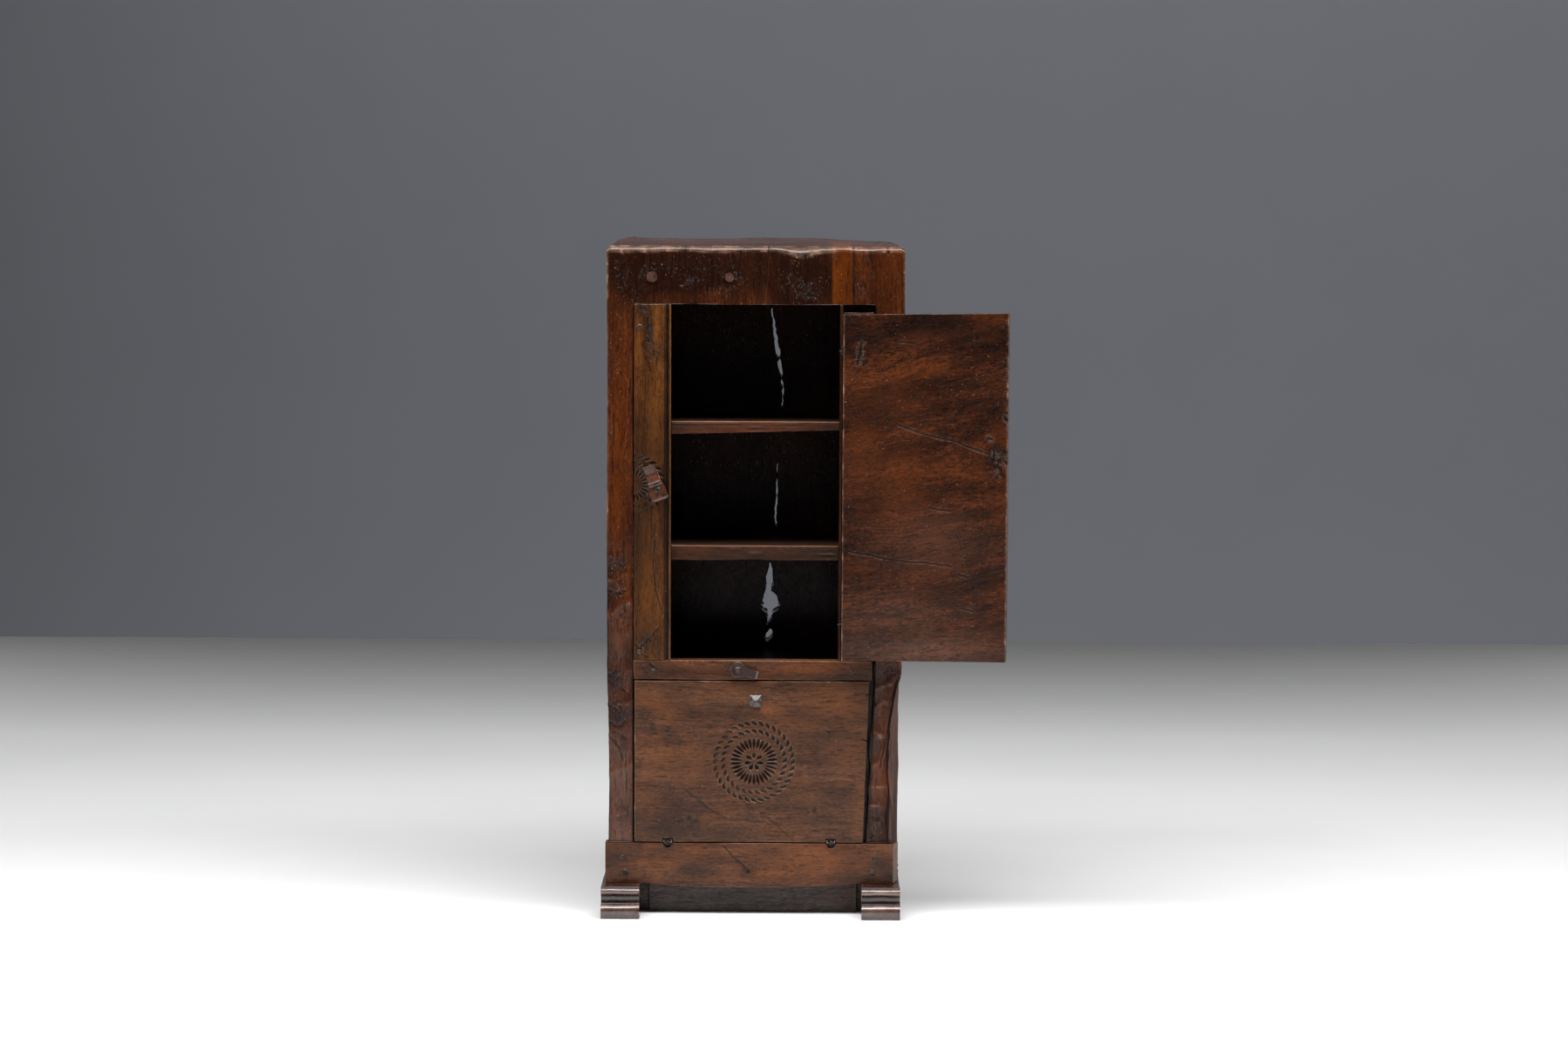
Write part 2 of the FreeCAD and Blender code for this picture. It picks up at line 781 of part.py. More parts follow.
def front_board(side, sign, points):
    """A fixed board with its outline and the two grooves beside its beaded inner edge."""
    board = body(f"{side}_board_blank")
    face = outline(board, "XZ_Plane", f"{side}_board_face", points)
    pad(board, face, "rebate_depth", backwards=True)
    grooves = (
        ("quirk", "board_bead_width", "quirk_width", "quirk_depth"),
        ("line", "scribed_line_inset", "scribed_line_width", "scribed_line_depth"),
    )
    for name, inset, width, depth in grooves:
        nearer = f"{sign} * (mouth_half_width + {inset})"
        further = f"{sign} * (mouth_half_width + {inset} + {width})"
        left, right = (further, nearer) if sign < 0 else (nearer, further)
        groove = rectangle(board, "XZ_Plane", f"{side}_{name}", left, "sill - overrun",
                           right, "head_underside + overrun")
        pocket(board, groove, depth)
    round_edges(board, f"{side}_bead", "board_bead_radius",
                lambda run, middle: near(abs(run.z), 1) and near(middle.y, 0)
                and near(abs(middle.x), value("mouth_half_width")))
    return board


left_board = front_board("left", -1, [
    ("-left_board_edge", "sill"),
    ("-mouth_half_width", "sill"),
    ("-mouth_half_width", "head_underside"),
    ("-left_board_edge", "head_underside"),
])
left_tools = [
    nail_hole(f"left_board_hole_{name}", spot, INTO, "nail_radius", "board_nail_length")
    for name, spot in BOARD_NAILS.items() if name.startswith("left")
]
left_tools.append(nail_hole("button_hole", BUTTON_SPOT, INTO, "pivot_radius", "pivot_bite"))
finish("left_front_board", cut("left_front_board", left_board, left_tools))

right_board = front_board("right", 1, [
    ("mouth_half_width", "sill"),
    ("right_board_edge", "sill"),
    ("right_board_edge", "head_underside - board_notch_height"),
    ("mouth_half_width + board_notch_inset", "head_underside - board_notch_height"),
    ("mouth_half_width + board_notch_inset", "head_underside"),
    ("mouth_half_width", "head_underside"),
])
right_tools = [
    nail_hole(f"right_board_hole_{name}", spot, INTO, "nail_radius", "board_nail_length")
    for name, spot in BOARD_NAILS.items() if name.startswith("right")
]
for level, (x, y, z) in DOOR_EYE_SPOTS.items():
    right_tools.append(cylinder(f"board_recess_{level}", "eye_recess_radius",
                                "eye_recess_length", (x, y, f"{z} - eye_recess_length / 2")))
    right_tools.append(cylinder(f"board_eye_hole_{level}", "eye_shank_radius + nail_fit",
                                "eye_shank_length", (x, y, z), OUT_AND_IN,
                                start="eye_ring_radius"))
finish("right_front_board", cut("right_front_board", right_board, right_tools))
finish("front_board_nails", group("front_board_nails", [
    nail(f"board_nail_{name}", spot, INTO, "nail_radius", "board_nail_length",
         "nail_head_radius", "nail_head_height")
    for name, spot in BOARD_NAILS.items()
]))

# Shelves and the floor of the upper part, cut at the back to pass the hollow's corners


def shelf(label, top, thickness, nose=False, tools=(), lift_right=None):
    """A shelf from the front boards to the hollow's back. Its nose reaches forward between
    the boards, and its underside rises to the right where it is thinner there."""
    board = body(label + "_board")
    back = "hollow_depth - shelf_back_gap"
    front = "shelf_setback" if nose else "rebate_depth"
    nose_side = "(mouth_half_width - shelf_side_gap)"
    nose_points = [
        (f"-{nose_side}", "rebate_depth"),
        (f"-{nose_side}", front),
        (nose_side, front),
        (nose_side, "rebate_depth"),
    ]
    plan = outline(board, "XY_Plane", label + "_plan", [
        ("-shelf_half_width", "rebate_depth"),
        *(nose_points if nose else []),
        ("shelf_half_width", "rebate_depth"),
        ("shelf_half_width", f"{back} - hollow_corner_radius"),
        ("shelf_half_width - hollow_corner_radius", back),
        ("-shelf_half_width + hollow_corner_radius", back),
        ("-shelf_half_width", f"{back} - hollow_corner_radius"),
    ], lift=f"{top} - {thickness}")
    pad(board, plan, thickness)
    if lift_right:
        taper = outline(board, "XZ_Plane", label + "_taper", [
            ("-half_hollow + bearer_width", f"{top} - {thickness}"),
            ("half_hollow + overrun", f"{top} - {thickness}"),
            ("half_hollow + overrun", f"{top} - {thickness} + {lift_right}"),
            ("half_hollow - bearer_width", f"{top} - {thickness} + {lift_right}"),
        ])
        pocket(board, taper, "hollow_depth")
    round_edges(board, label + "_arris", "shelf_arris_radius",
                lambda run, middle: near(abs(run.x), 1) and near(middle.y, value(front))
                and near(middle.z, value(top)))
    return finish(label, cut(label, board, list(tools)) if tools else board)


shelf("upper_shelf", "upper_shelf_top", "upper_shelf_thick_end", nose=True,
      lift_right="(upper_shelf_thick_end - upper_shelf_thin_end)")
shelf("lower_shelf", "lower_shelf_top", "lower_shelf_thickness", nose=True)
shelf("middle_floor", "middle_floor_top", "middle_floor_thickness", tools=[
    nail_hole(f"floor_hole_{side}", spot, INTO, "nail_radius", "rail_nail_length")
    for side, spot in RAIL_NAILS.items()
])

# Bearers nailed to the hollow's walls, under both ends of each shelf

for (shelf_name, side), underside in SHELF_UNDERSIDES.items():
    label = f"{shelf_name}_{side}_bearer"
    bearer = doc.addObject("Part::Box", label + "_bar")
    bind(bearer, Length="bearer_width", Width="bearer_length", Height="bearer_height")
    across = "-half_hollow" if side == "left" else "half_hollow - bearer_width"
    place(bearer, across, "bearer_setback", f"{underside} - bearer_height")
    outwards = (-1 if side == "left" else 1, 0, 0)
    finish(label, cut(label, bearer, [
        nail_hole(f"{label}_{name}", spot, outwards, "nail_radius", "bearer_nail_length")
        for name, spot in BEARER_NAILS.items() if name.startswith(f"{shelf_name}_{side}")
    ]))

finish("bearer_nails", group("bearer_nails", [
    nail(f"bearer_nail_{name}", spot, (1 if "_right_" in name else -1, 0, 0), "nail_radius",
         "bearer_nail_length", "nail_head_radius", "nail_head_height")
    for name, spot in BEARER_NAILS.items()
]))

# Runners with moulded toes, and the dowels that pin them to the trunk

TOE = [
    ("carcase_depth", "0"),
    ("carcase_depth", "foot_height"),
    ("-toe_reach + bead_setback", "foot_height"),
    ("-toe_reach + bead_setback", "bead_top"),
    ("-toe_reach + bead_setback", "cove_top"),
    ("-toe_reach + toe_neck_setback", "toe_swell_top"),
    ("-toe_reach + toe_swell_setback", "toe_flat_height"),
    ("-toe_reach + toe_sole_setback", "0"),
]
TOE_ARCS = {
    3: ("bead_radius", 1),
    4: ("cove_radius", -1),
    5: ("toe_swell_radius", 1),
}
for side, outer in (("left", "-left_foot_side"), ("right", "right_foot_inside")):
    runner = body(f"{side}_runner_blank")
    profile = outline(runner, "YZ_Plane", f"{side}_runner_profile", TOE, TOE_ARCS, lift=outer)
    pad(runner, profile, "foot_width")
    inside = "-left_foot_inside" if side == "left" else "right_foot_inside"
    housing = doc.addObject("Part::Box", f"{side}_runner_housing")
    bind(housing, Length="tongue_reach + overrun", Width="tongue_thickness",
         Height="foot_height + 2 * overrun")
    across = f"{inside} - tongue_reach" if side == "left" else f"{inside} - overrun"
    place(housing, across, "base_board_setback + tongue_setback", "-overrun")
    holes = [
        cylinder(f"runner_dowel_{name}", "dowel_radius", "dowel_length", spot)
        for name, spot in DOWELS.items() if name.startswith(side)
    ]
    finish(f"{side}_runner_foot", cut(f"{side}_runner_foot", runner, [housing] + holes))
    finish(f"{side}_foot_dowels", group(f"{side}_foot_dowels", [
        cylinder(f"dowel_{name}", "dowel_radius", "dowel_length", spot)
        for name, spot in DOWELS.items() if name.startswith(side)
    ]))

# Base board, tongued into both runners

plinth = body("base_board")
tongue_front = "base_board_setback + tongue_setback"
tongue_back = "base_board_setback + tongue_setback + tongue_thickness"
board_back = "base_board_setback + base_board_thickness"
board_left = "-left_foot_inside + left_shoulder_gap"
board_right = "right_foot_inside - right_shoulder_gap"
plan = outline(plinth, "XY_Plane", "base_board_plan", [
    (board_left, "base_board_setback"),
    (board_right, "base_board_setback"),
    (board_right, tongue_front),
    ("right_foot_inside + tongue_reach", tongue_front),
    ("right_foot_inside + tongue_reach", tongue_back),
    (board_right, tongue_back),
    (board_right, board_back),
    (board_left, board_back),
    (board_left, tongue_back),
    ("-left_foot_inside - tongue_reach", tongue_back),
    ("-left_foot_inside - tongue_reach", tongue_front),
    (board_left, tongue_front),
])
pad(plinth, plan, "foot_height")
finish("base_board", plinth)

# Linked eyes: a ring on the fixed side, and on the moving side a staple through it whose
# bar is the hinge's axis


def fixed_eye(label, spot, ring_axis, shank_way):
    """A ring round the hinge's axis on a shank that is driven into the wood."""
    ring = doc.addObject("Part::Torus", label + "_ring")
    bind(ring, Radius1="eye_ring_radius", Radius2="wire_radius")
    ring.Placement = FreeCAD.Placement(V(), FreeCAD.Rotation(V(0, 0, 1), V(*ring_axis)))
    x, y, z = spot
    bind(
        ring,
        Placement__Base__x=x,
        Placement__Base__y=f"{y} - front",
        Placement__Base__z=z,
    )
    shank = cylinder(label + "_shank", "eye_shank_radius", "eye_shank_length", spot, shank_way,
                     start="eye_ring_radius")
    return finish(label, fused(label, [ring, shank]))


def staple(name, along, leg_way, spot):
    """A staple whose bar lies on the hinge's axis, in the hinge's own frame."""
    x, y, z = spot
    corners = [
        tuple(f"{base} + {sign * step} * eye_leg_spread" for base, step in zip(spot, along))
        for sign in (-1, 1)
    ]
    parts = [cylinder(name + "_bar", "wire_radius", "2 * eye_leg_spread", corners[0], along)]
    for number, corner in enumerate(corners):
        parts.append(cylinder(f"{name}_leg_{number}", "wire_radius", "eye_leg_length", corner,
                              leg_way))
        bend = doc.addObject("Part::Sphere", f"{name}_bend_{number}")
        bind(bend, Radius="wire_radius")
        place(bend, *corner)
        parts.append(bend)
    return fused(name, parts)


def leg_holes(name, along, leg_way, spot):
    """The holes that a staple's legs fill."""
    holes = []
    for number, sign in enumerate((-1, 1)):
        corner = tuple(f"{base} + {sign * step} * eye_leg_spread"
                       for base, step in zip(spot, along))
        holes.append(cylinder(f"{name}_{number}", "wire_radius + nail_fit",
                              "eye_leg_length + nail_fit", corner, leg_way))
    return holes


for level, spot in DOOR_EYE_SPOTS.items():
    fixed_eye(f"door_{level}_fixed_eye", spot, (0, 0, 1), OUT_AND_IN)
for side, spot in EYE_SPOTS.items():
    fixed_eye(f"flap_{side}_fixed_eye", spot, (1, 0, 0), DOWN_AND_IN)

# Plank door, modelled shut in the hinge's own frame and then swung open


def swing_door(thing):
    """Hang a piece of the door on the hinge's axis, at the angle where it stands."""
    place(thing, "door_axis", "-door_axis_proud", "0", (0, 0, 1), "door_open_angle")
    return thing


ABOUT_AXIS = "front"
door = doc.addObject("PartDesign::Body", "door_plank_blank")
door_face = outline(door, "XZ_Plane", "door_face", [
    ("-door_far_edge", "door_foot + door_rise"),
    ("-door_axis_inset", "door_foot"),
    ("-door_axis_inset", "door_head"),
    ("-door_far_edge", "door_head + door_rise"),
], lift="-door_axis_proud")
pad(door, door_face, "door_thickness", backwards=True)
round_edges(door, "door_arris", "door_arris_radius",
            lambda run, middle: near(middle.y, value("door_axis_proud"))
            or near(middle.y, value("door_axis_proud + door_thickness")))
ACROSS_AND_IN = (-1, 1, 0)
door_holes = []
for level in DOOR_EYE_SPOTS:
    spot = ("0", ABOUT_AXIS, f"{level}_eye_height")
    door_holes += leg_holes(f"door_leg_{level}", (0, 0, 1), ACROSS_AND_IN, spot)
finish("door_plank", swing_door(cut("door_plank", door, door_holes)))
for level in DOOR_EYE_SPOTS:
    spot = ("0", ABOUT_AXIS, f"{level}_eye_height")
    eye = staple(f"door_{level}_moving_eye", (0, 0, 1), ACROSS_AND_IN, spot)
    finish(f"door_{level}_moving_eye", swing_door(eye))

# Flap, with its eyes and its square-headed stud

flap = body("flap_blank")
flap_face = outline(flap, "XZ_Plane", "flap_face", [
    ("-flap_left", "flap_foot"),
    ("flap_right_foot", "flap_foot"),
    ("flap_right_top", "flap_head"),
    ("-flap_left", "flap_head"),
])
pad(flap, flap_face, "flap_thickness", backwards=True)
round_edges(flap, "flap_arris", "flap_arris_radius",
            lambda run, middle: near(middle.y, 0))
STUD_SPOT = ("stud_across", "0", "stud_height")
UP_AND_IN = (0, 1, 1)
flap_tools = [nail_hole("stud_hole", STUD_SPOT, INTO, "stud_shank_radius",
                        "stud_shank_length")]
for side, (x, y, z) in EYE_SPOTS.items():
    flap_tools.append(cylinder(f"flap_recess_{side}", "eye_recess_radius",
                               "eye_recess_length", (f"{x} - eye_recess_length / 2", y, z),
                               (1, 0, 0)))
    flap_tools += leg_holes(f"flap_leg_{side}", (1, 0, 0), UP_AND_IN, (x, y, z))
finish("flap_board", cut("flap_board", flap, flap_tools))
for side, spot in EYE_SPOTS.items():
    finish(f"flap_{side}_moving_eye",
           staple(f"flap_{side}_moving_eye", (1, 0, 0), UP_AND_IN, spot))

stud_rim = doc.addObject("Part::Box", "stud_rim_block")
bind(stud_rim, Length="stud_width", Width="stud_rim", Height="stud_width")
place(stud_rim, "stud_across - stud_width / 2", "-stud_rim", "stud_height - stud_width / 2")
stud_point = doc.addObject("Part::Wedge", "stud_pyramid")
tip_start = "(stud_width - stud_tip_width) / 2"
tip_end = "(stud_width + stud_tip_width) / 2"
bind(stud_point, Xmin="0", Zmin="0", Ymin="0", Xmax="stud_width", Zmax="stud_width",
     Ymax="stud_point", X2min=tip_start, X2max=tip_end, Z2min=tip_start, Z2max=tip_end)
place(stud_point, "stud_across - stud_width / 2", "-stud_rim", "stud_height + stud_width / 2",
      (1, 0, 0), "180")
stud_shank = cylinder("stud_shank", "stud_shank_radius", "stud_shank_length", STUD_SPOT, INTO)
finish("flap_stud", fused("flap_stud", [stud_rim, stud_point, stud_shank]))


# Turn-button and latch, each on its own nail


def pivot_nail(label, spot, thickness):
    """A nail whose shank is the pivot and whose head keeps the wooden piece on it."""
    x, y, z = spot
    reach = f"seat_gap + {thickness} + pivot_head_gap"
    start = (x, f"{y} - ({reach})", z)
    return finish(label, nail(label, start, INTO, "pivot_radius",
                              f"{reach} + pivot_bite", "pivot_head_radius",
                              "pivot_head_height"))


def hang(thing, spot, turn):
    """Put a turning piece on its nail; a positive turn is anticlockwise from the front."""
    across, depth, height = spot
    place(thing, across, depth, height, (0, -1, 0), turn)
    return thing


def waste_outline(piece, name, edge, lift, reach):
    """All that lies outside an outline, up to a square whose sides are that reach away."""
    sketch = outline(piece, "XZ_Plane", name, edge, lift=lift)
    low, high = f"-({reach})", f"({reach})"
    frame = [(low, low), (high, low), (high, high), (low, high)]
    first = sketch.GeometryCount
    corners = [V(value(x), value(z), 0) for x, z in frame]
    for start, end in zip(corners, corners[1:] + corners[:1]):
        sketch.addGeometry(Part.LineSegment(start, end))
    for number, point in enumerate(frame):
        following = first + (number + 1) % len(frame)
        sketch.addConstraint(
            Sketcher.Constraint("Coincident", first + number, 2, following, 1))
        pin_point(sketch, first + number, 1, point)
    return sketch


button = doc.addObject("PartDesign::Body", "turn_button_blank")
button_side = outline(button, "YZ_Plane", "turn_button_side", [
    ("-seat_gap", "-button_heel"),
    ("-seat_gap", "button_reach"),
    ("-seat_gap - button_tip", "button_reach"),
    ("-seat_gap - button_saddle", "button_saddle_height"),
    ("-seat_gap - button_crest", "button_crest_height"),
    ("-seat_gap - button_plate", "button_step_height"),
    ("-seat_gap - button_plate", "-button_heel + button_bevel"),
    ("-seat_gap - button_plate + button_bevel", "-button_heel"),
])
pad(button, button_side, "button_heel_width + 2 * overrun", both_ways=True)
button_waste = waste_outline(button, "turn_button_waste", [
    ("-button_heel_width / 2 + button_bevel", "-button_heel"),
    ("button_heel_width / 2 - button_bevel", "-button_heel"),
    ("button_heel_width / 2", "-button_heel + button_bevel"),
    ("button_heel_width / 2", "0"),
    ("button_waist_width / 2", "button_crest_height"),
    ("button_tip_width / 2", "button_reach"),
    ("-button_tip_width / 2", "button_reach"),
    ("-button_waist_width / 2", "button_crest_height"),
    ("-button_heel_width / 2", "0"),
    ("-button_heel_width / 2", "-button_heel + button_bevel"),
], "seat_gap + button_crest + overrun", "button_reach + button_heel")
pocket(button, button_waste, "button_crest + seat_gap + 2 * overrun")
button_bore = cylinder("turn_button_bore", "pivot_radius + pivot_clearance",
                       "button_crest + 2 * overrun",
                       ("0", "front - button_crest - overrun", "0"), INTO)
finish("turn_button", hang(cut("turn_button", button, [button_bore]), BUTTON_SPOT,
                           "button_tilt"))
pivot_nail("turn_button_nail", BUTTON_SPOT, "button_plate")

latch = doc.addObject("PartDesign::Body", "latch_blank")
latch_face = outline(latch, "XZ_Plane", "latch_face", [
    ("-latch_head_radius", "0"),
    ("-latch_neck_width / 2", "-latch_shoulder"),
    ("-latch_tip_width / 2", "-latch_reach"),
    ("latch_tip_width / 2", "-latch_reach"),
    ("latch_neck_width / 2", "-latch_shoulder"),
    ("latch_head_radius", "0"),
    ("0", "latch_head_radius"),
], {5: ("latch_head_radius", 1), 6: ("latch_head_radius", 1)}, lift="seat_gap")
pad(latch, latch_face, "latch_thickness")
latch_blank = latch.Tip
latch_bevel = latch.newObject("PartDesign::Chamfer", "latch_toe_bevel")
latch_bevel.Base = (latch_blank, edges_where(
    latch_blank.Shape,
    lambda run, middle: near(middle.z, -value("latch_reach"))
    and near(middle.y, -value("seat_gap + latch_thickness"))))
bind(latch_bevel, Size="latch_bevel")
doc.recompute()
latch_bore = cylinder("latch_bore", "pivot_radius + pivot_clearance",
                      "latch_thickness + 2 * overrun",
                      ("0", "front - latch_thickness - overrun", "0"), INTO)
finish("flap_latch", hang(cut("flap_latch", latch, [latch_bore]), LATCH_SPOT,
                          "latch_turned_aside"))
pivot_nail("latch_nail", LATCH_SPOT, "latch_thickness")

# Every object has to have been built, and every sub-part has to be a valid solid

doc.recompute()
for thing in doc.Objects:
    if "Invalid" in thing.State or "Error" in thing.State:
        raise RuntimeError(f"{thing.Label} was not built: {thing.State}")
for label, thing in FINISHED.items():
    if thing.Shape.isNull() or not thing.Shape.isValid() or not thing.Shape.Solids:
        raise RuntimeError(f"{label} is not a valid solid")

os.makedirs("parts", exist_ok=True)
for label, thing in FINISHED.items():
    thing.Shape.exportStep(f"parts/{label}.step")
    box = thing.Shape.BoundBox
    print(f"{label}: {len(thing.Shape.Solids)} solids, {thing.Shape.Volume / 1000:.1f} cm3,"
          f" X {box.XMin:.1f} to {box.XMax:.1f}, Y {box.YMin:.1f} to {box.YMax:.1f},"
          f" Z {box.ZMin:.1f} to {box.ZMax:.1f}")
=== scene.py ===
from math import cos, pi, radians, sin

import bpy
import numpy as np
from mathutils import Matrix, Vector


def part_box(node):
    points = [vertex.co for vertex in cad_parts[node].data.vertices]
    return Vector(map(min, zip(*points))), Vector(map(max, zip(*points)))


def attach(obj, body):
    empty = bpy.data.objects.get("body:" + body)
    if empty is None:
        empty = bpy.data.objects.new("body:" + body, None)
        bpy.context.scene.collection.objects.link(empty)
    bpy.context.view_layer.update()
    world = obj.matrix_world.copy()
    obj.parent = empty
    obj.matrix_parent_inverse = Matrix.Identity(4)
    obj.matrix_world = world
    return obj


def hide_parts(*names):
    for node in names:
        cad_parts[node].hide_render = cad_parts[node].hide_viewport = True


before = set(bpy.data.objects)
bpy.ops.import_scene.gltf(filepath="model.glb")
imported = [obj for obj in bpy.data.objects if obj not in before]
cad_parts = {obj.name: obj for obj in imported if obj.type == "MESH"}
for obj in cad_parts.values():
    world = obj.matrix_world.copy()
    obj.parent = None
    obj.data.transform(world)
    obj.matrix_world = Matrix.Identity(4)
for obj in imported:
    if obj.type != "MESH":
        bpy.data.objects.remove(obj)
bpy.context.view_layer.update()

# The trunk: one piece of wood, hollowed from the front and left closed at its head and foot.
# Its outside is hewn, its arrises are worn, and cracks run right through its back.
# Lengths are millimetres until a piece's mesh is made.


def lines(stops, steps, crisp=0.8):
    """Places from the first stop to the last: even steps, no longer than each gap's own, with
    one place more close to each side of every stop, which keeps the arrises there crisp."""
    places = [np.linspace(a, b, int(np.ceil((b - a) / step)) + 1)
              for a, b, step in zip(stops, stops[1:], steps)]
    places += [np.array(stops) - crisp, np.array(stops) + crisp]
    places = np.unique(np.round(np.concatenate(places), 3))
    return places[(places >= stops[0]) & (places <= stops[-1])]


def lumps(points, size, seed):
    """Smooth heights from -1 to 1: random values on a lattice whose cells have that size, one
    length or one for each axis, blended between the lattice's points by a cubic step."""
    table = np.random.default_rng(seed).uniform(-1, 1, (32, 32, 32))
    place = points / np.asarray(size, float) + 64
    low = np.floor(place).astype(int)
    share = place - low
    share = share * share * (3 - 2 * share)
    height = np.zeros(len(points))
    for corner in np.ndindex(2, 2, 2):
        weight = np.where(np.array(corner) == 1, share, 1 - share).prod(1)
        i, j, k = ((low + corner) % 32).T
        height += weight * table[i, j, k]
    return height


def rounded(points, axes, corner, signs, radius):
    """A square corner between two faces drawn in to a quarter circle: each point near it keeps
    its direction from the circle's centre and takes its square distance as a round one."""
    a, b = axes
    da = (points[:, a] - corner[0]) * signs[0] + radius
    db = (points[:, b] - corner[1]) * signs[1] + radius
    reach = np.maximum(da, db)
    near = (da > 0) & (db > 0) & (reach <= radius + 0.01)
    scale = np.where(near, reach / np.maximum(np.hypot(da, db), 1e-9), 1)
    points = points.copy()
    points[:, a] = corner[0] + signs[0] * (da * scale - radius)
    points[:, b] = corner[1] + signs[1] * (db * scale - radius)
    return points


def gouge(x, z, start, end, width):
    """Depth share of a cut from a start to an end: a parabola across its width, rounded at
    both ends. Start, end and the arguments x and z lie in the plane of the board's face."""
    run = np.subtract(end, start)
    along = ((x - start[0]) * run[0] + (z - start[1]) * run[1]) / max(run @ run, 1e-9)
    along = np.clip(along, 0, 1)
    away = np.hypot(x - start[0] - along * run[0], z - start[1] - along * run[1])
    return np.clip(1 - (2 * away / width) ** 2, 0, 1)


def crack(x, z, path, width):
    """The deepest share of the gouges that join a path's points."""
    return np.max([gouge(x, z, a, b, width) for a, b in zip(path, path[1:])], axis=0)


def hewn(a, b, size, seed):
    """Depth shares of an axe's or adze's scoops: each point of the plane of a and b belongs to
    the nearest centre of a jittered lattice, and lies deeper the nearer that centre is."""
    jitter = np.random.default_rng(seed).uniform(-0.4, 0.4, (2, 64, 64))
    place = np.stack([a, b]) / np.reshape(size, (2, 1)) + 32
    cell = np.floor(place).astype(int)
    nearest = np.full(len(a), 9.0)
    for step in np.ndindex(3, 3):
        i, j = cell + np.reshape(step, (2, 1)) - 1
        centre = np.stack([i, j]) + 0.5 + jitter[:, i % 64, j % 64]
        nearest = np.minimum(nearest, ((place - centre) ** 2).sum(0))
    return np.clip(1 - nearest / 0.7, 0, 1)


def stains(x, z, spots):
    """Shares from 0 to 1 of soft oval stains; a spot is (x, z, half width, half height, share)."""
    ovals = [share * np.exp(-((x - cx) / rx) ** 2 - ((z - cz) / rz) ** 2)
             for cx, cz, rx, rz, share in spots]
    return np.max(ovals, axis=0)


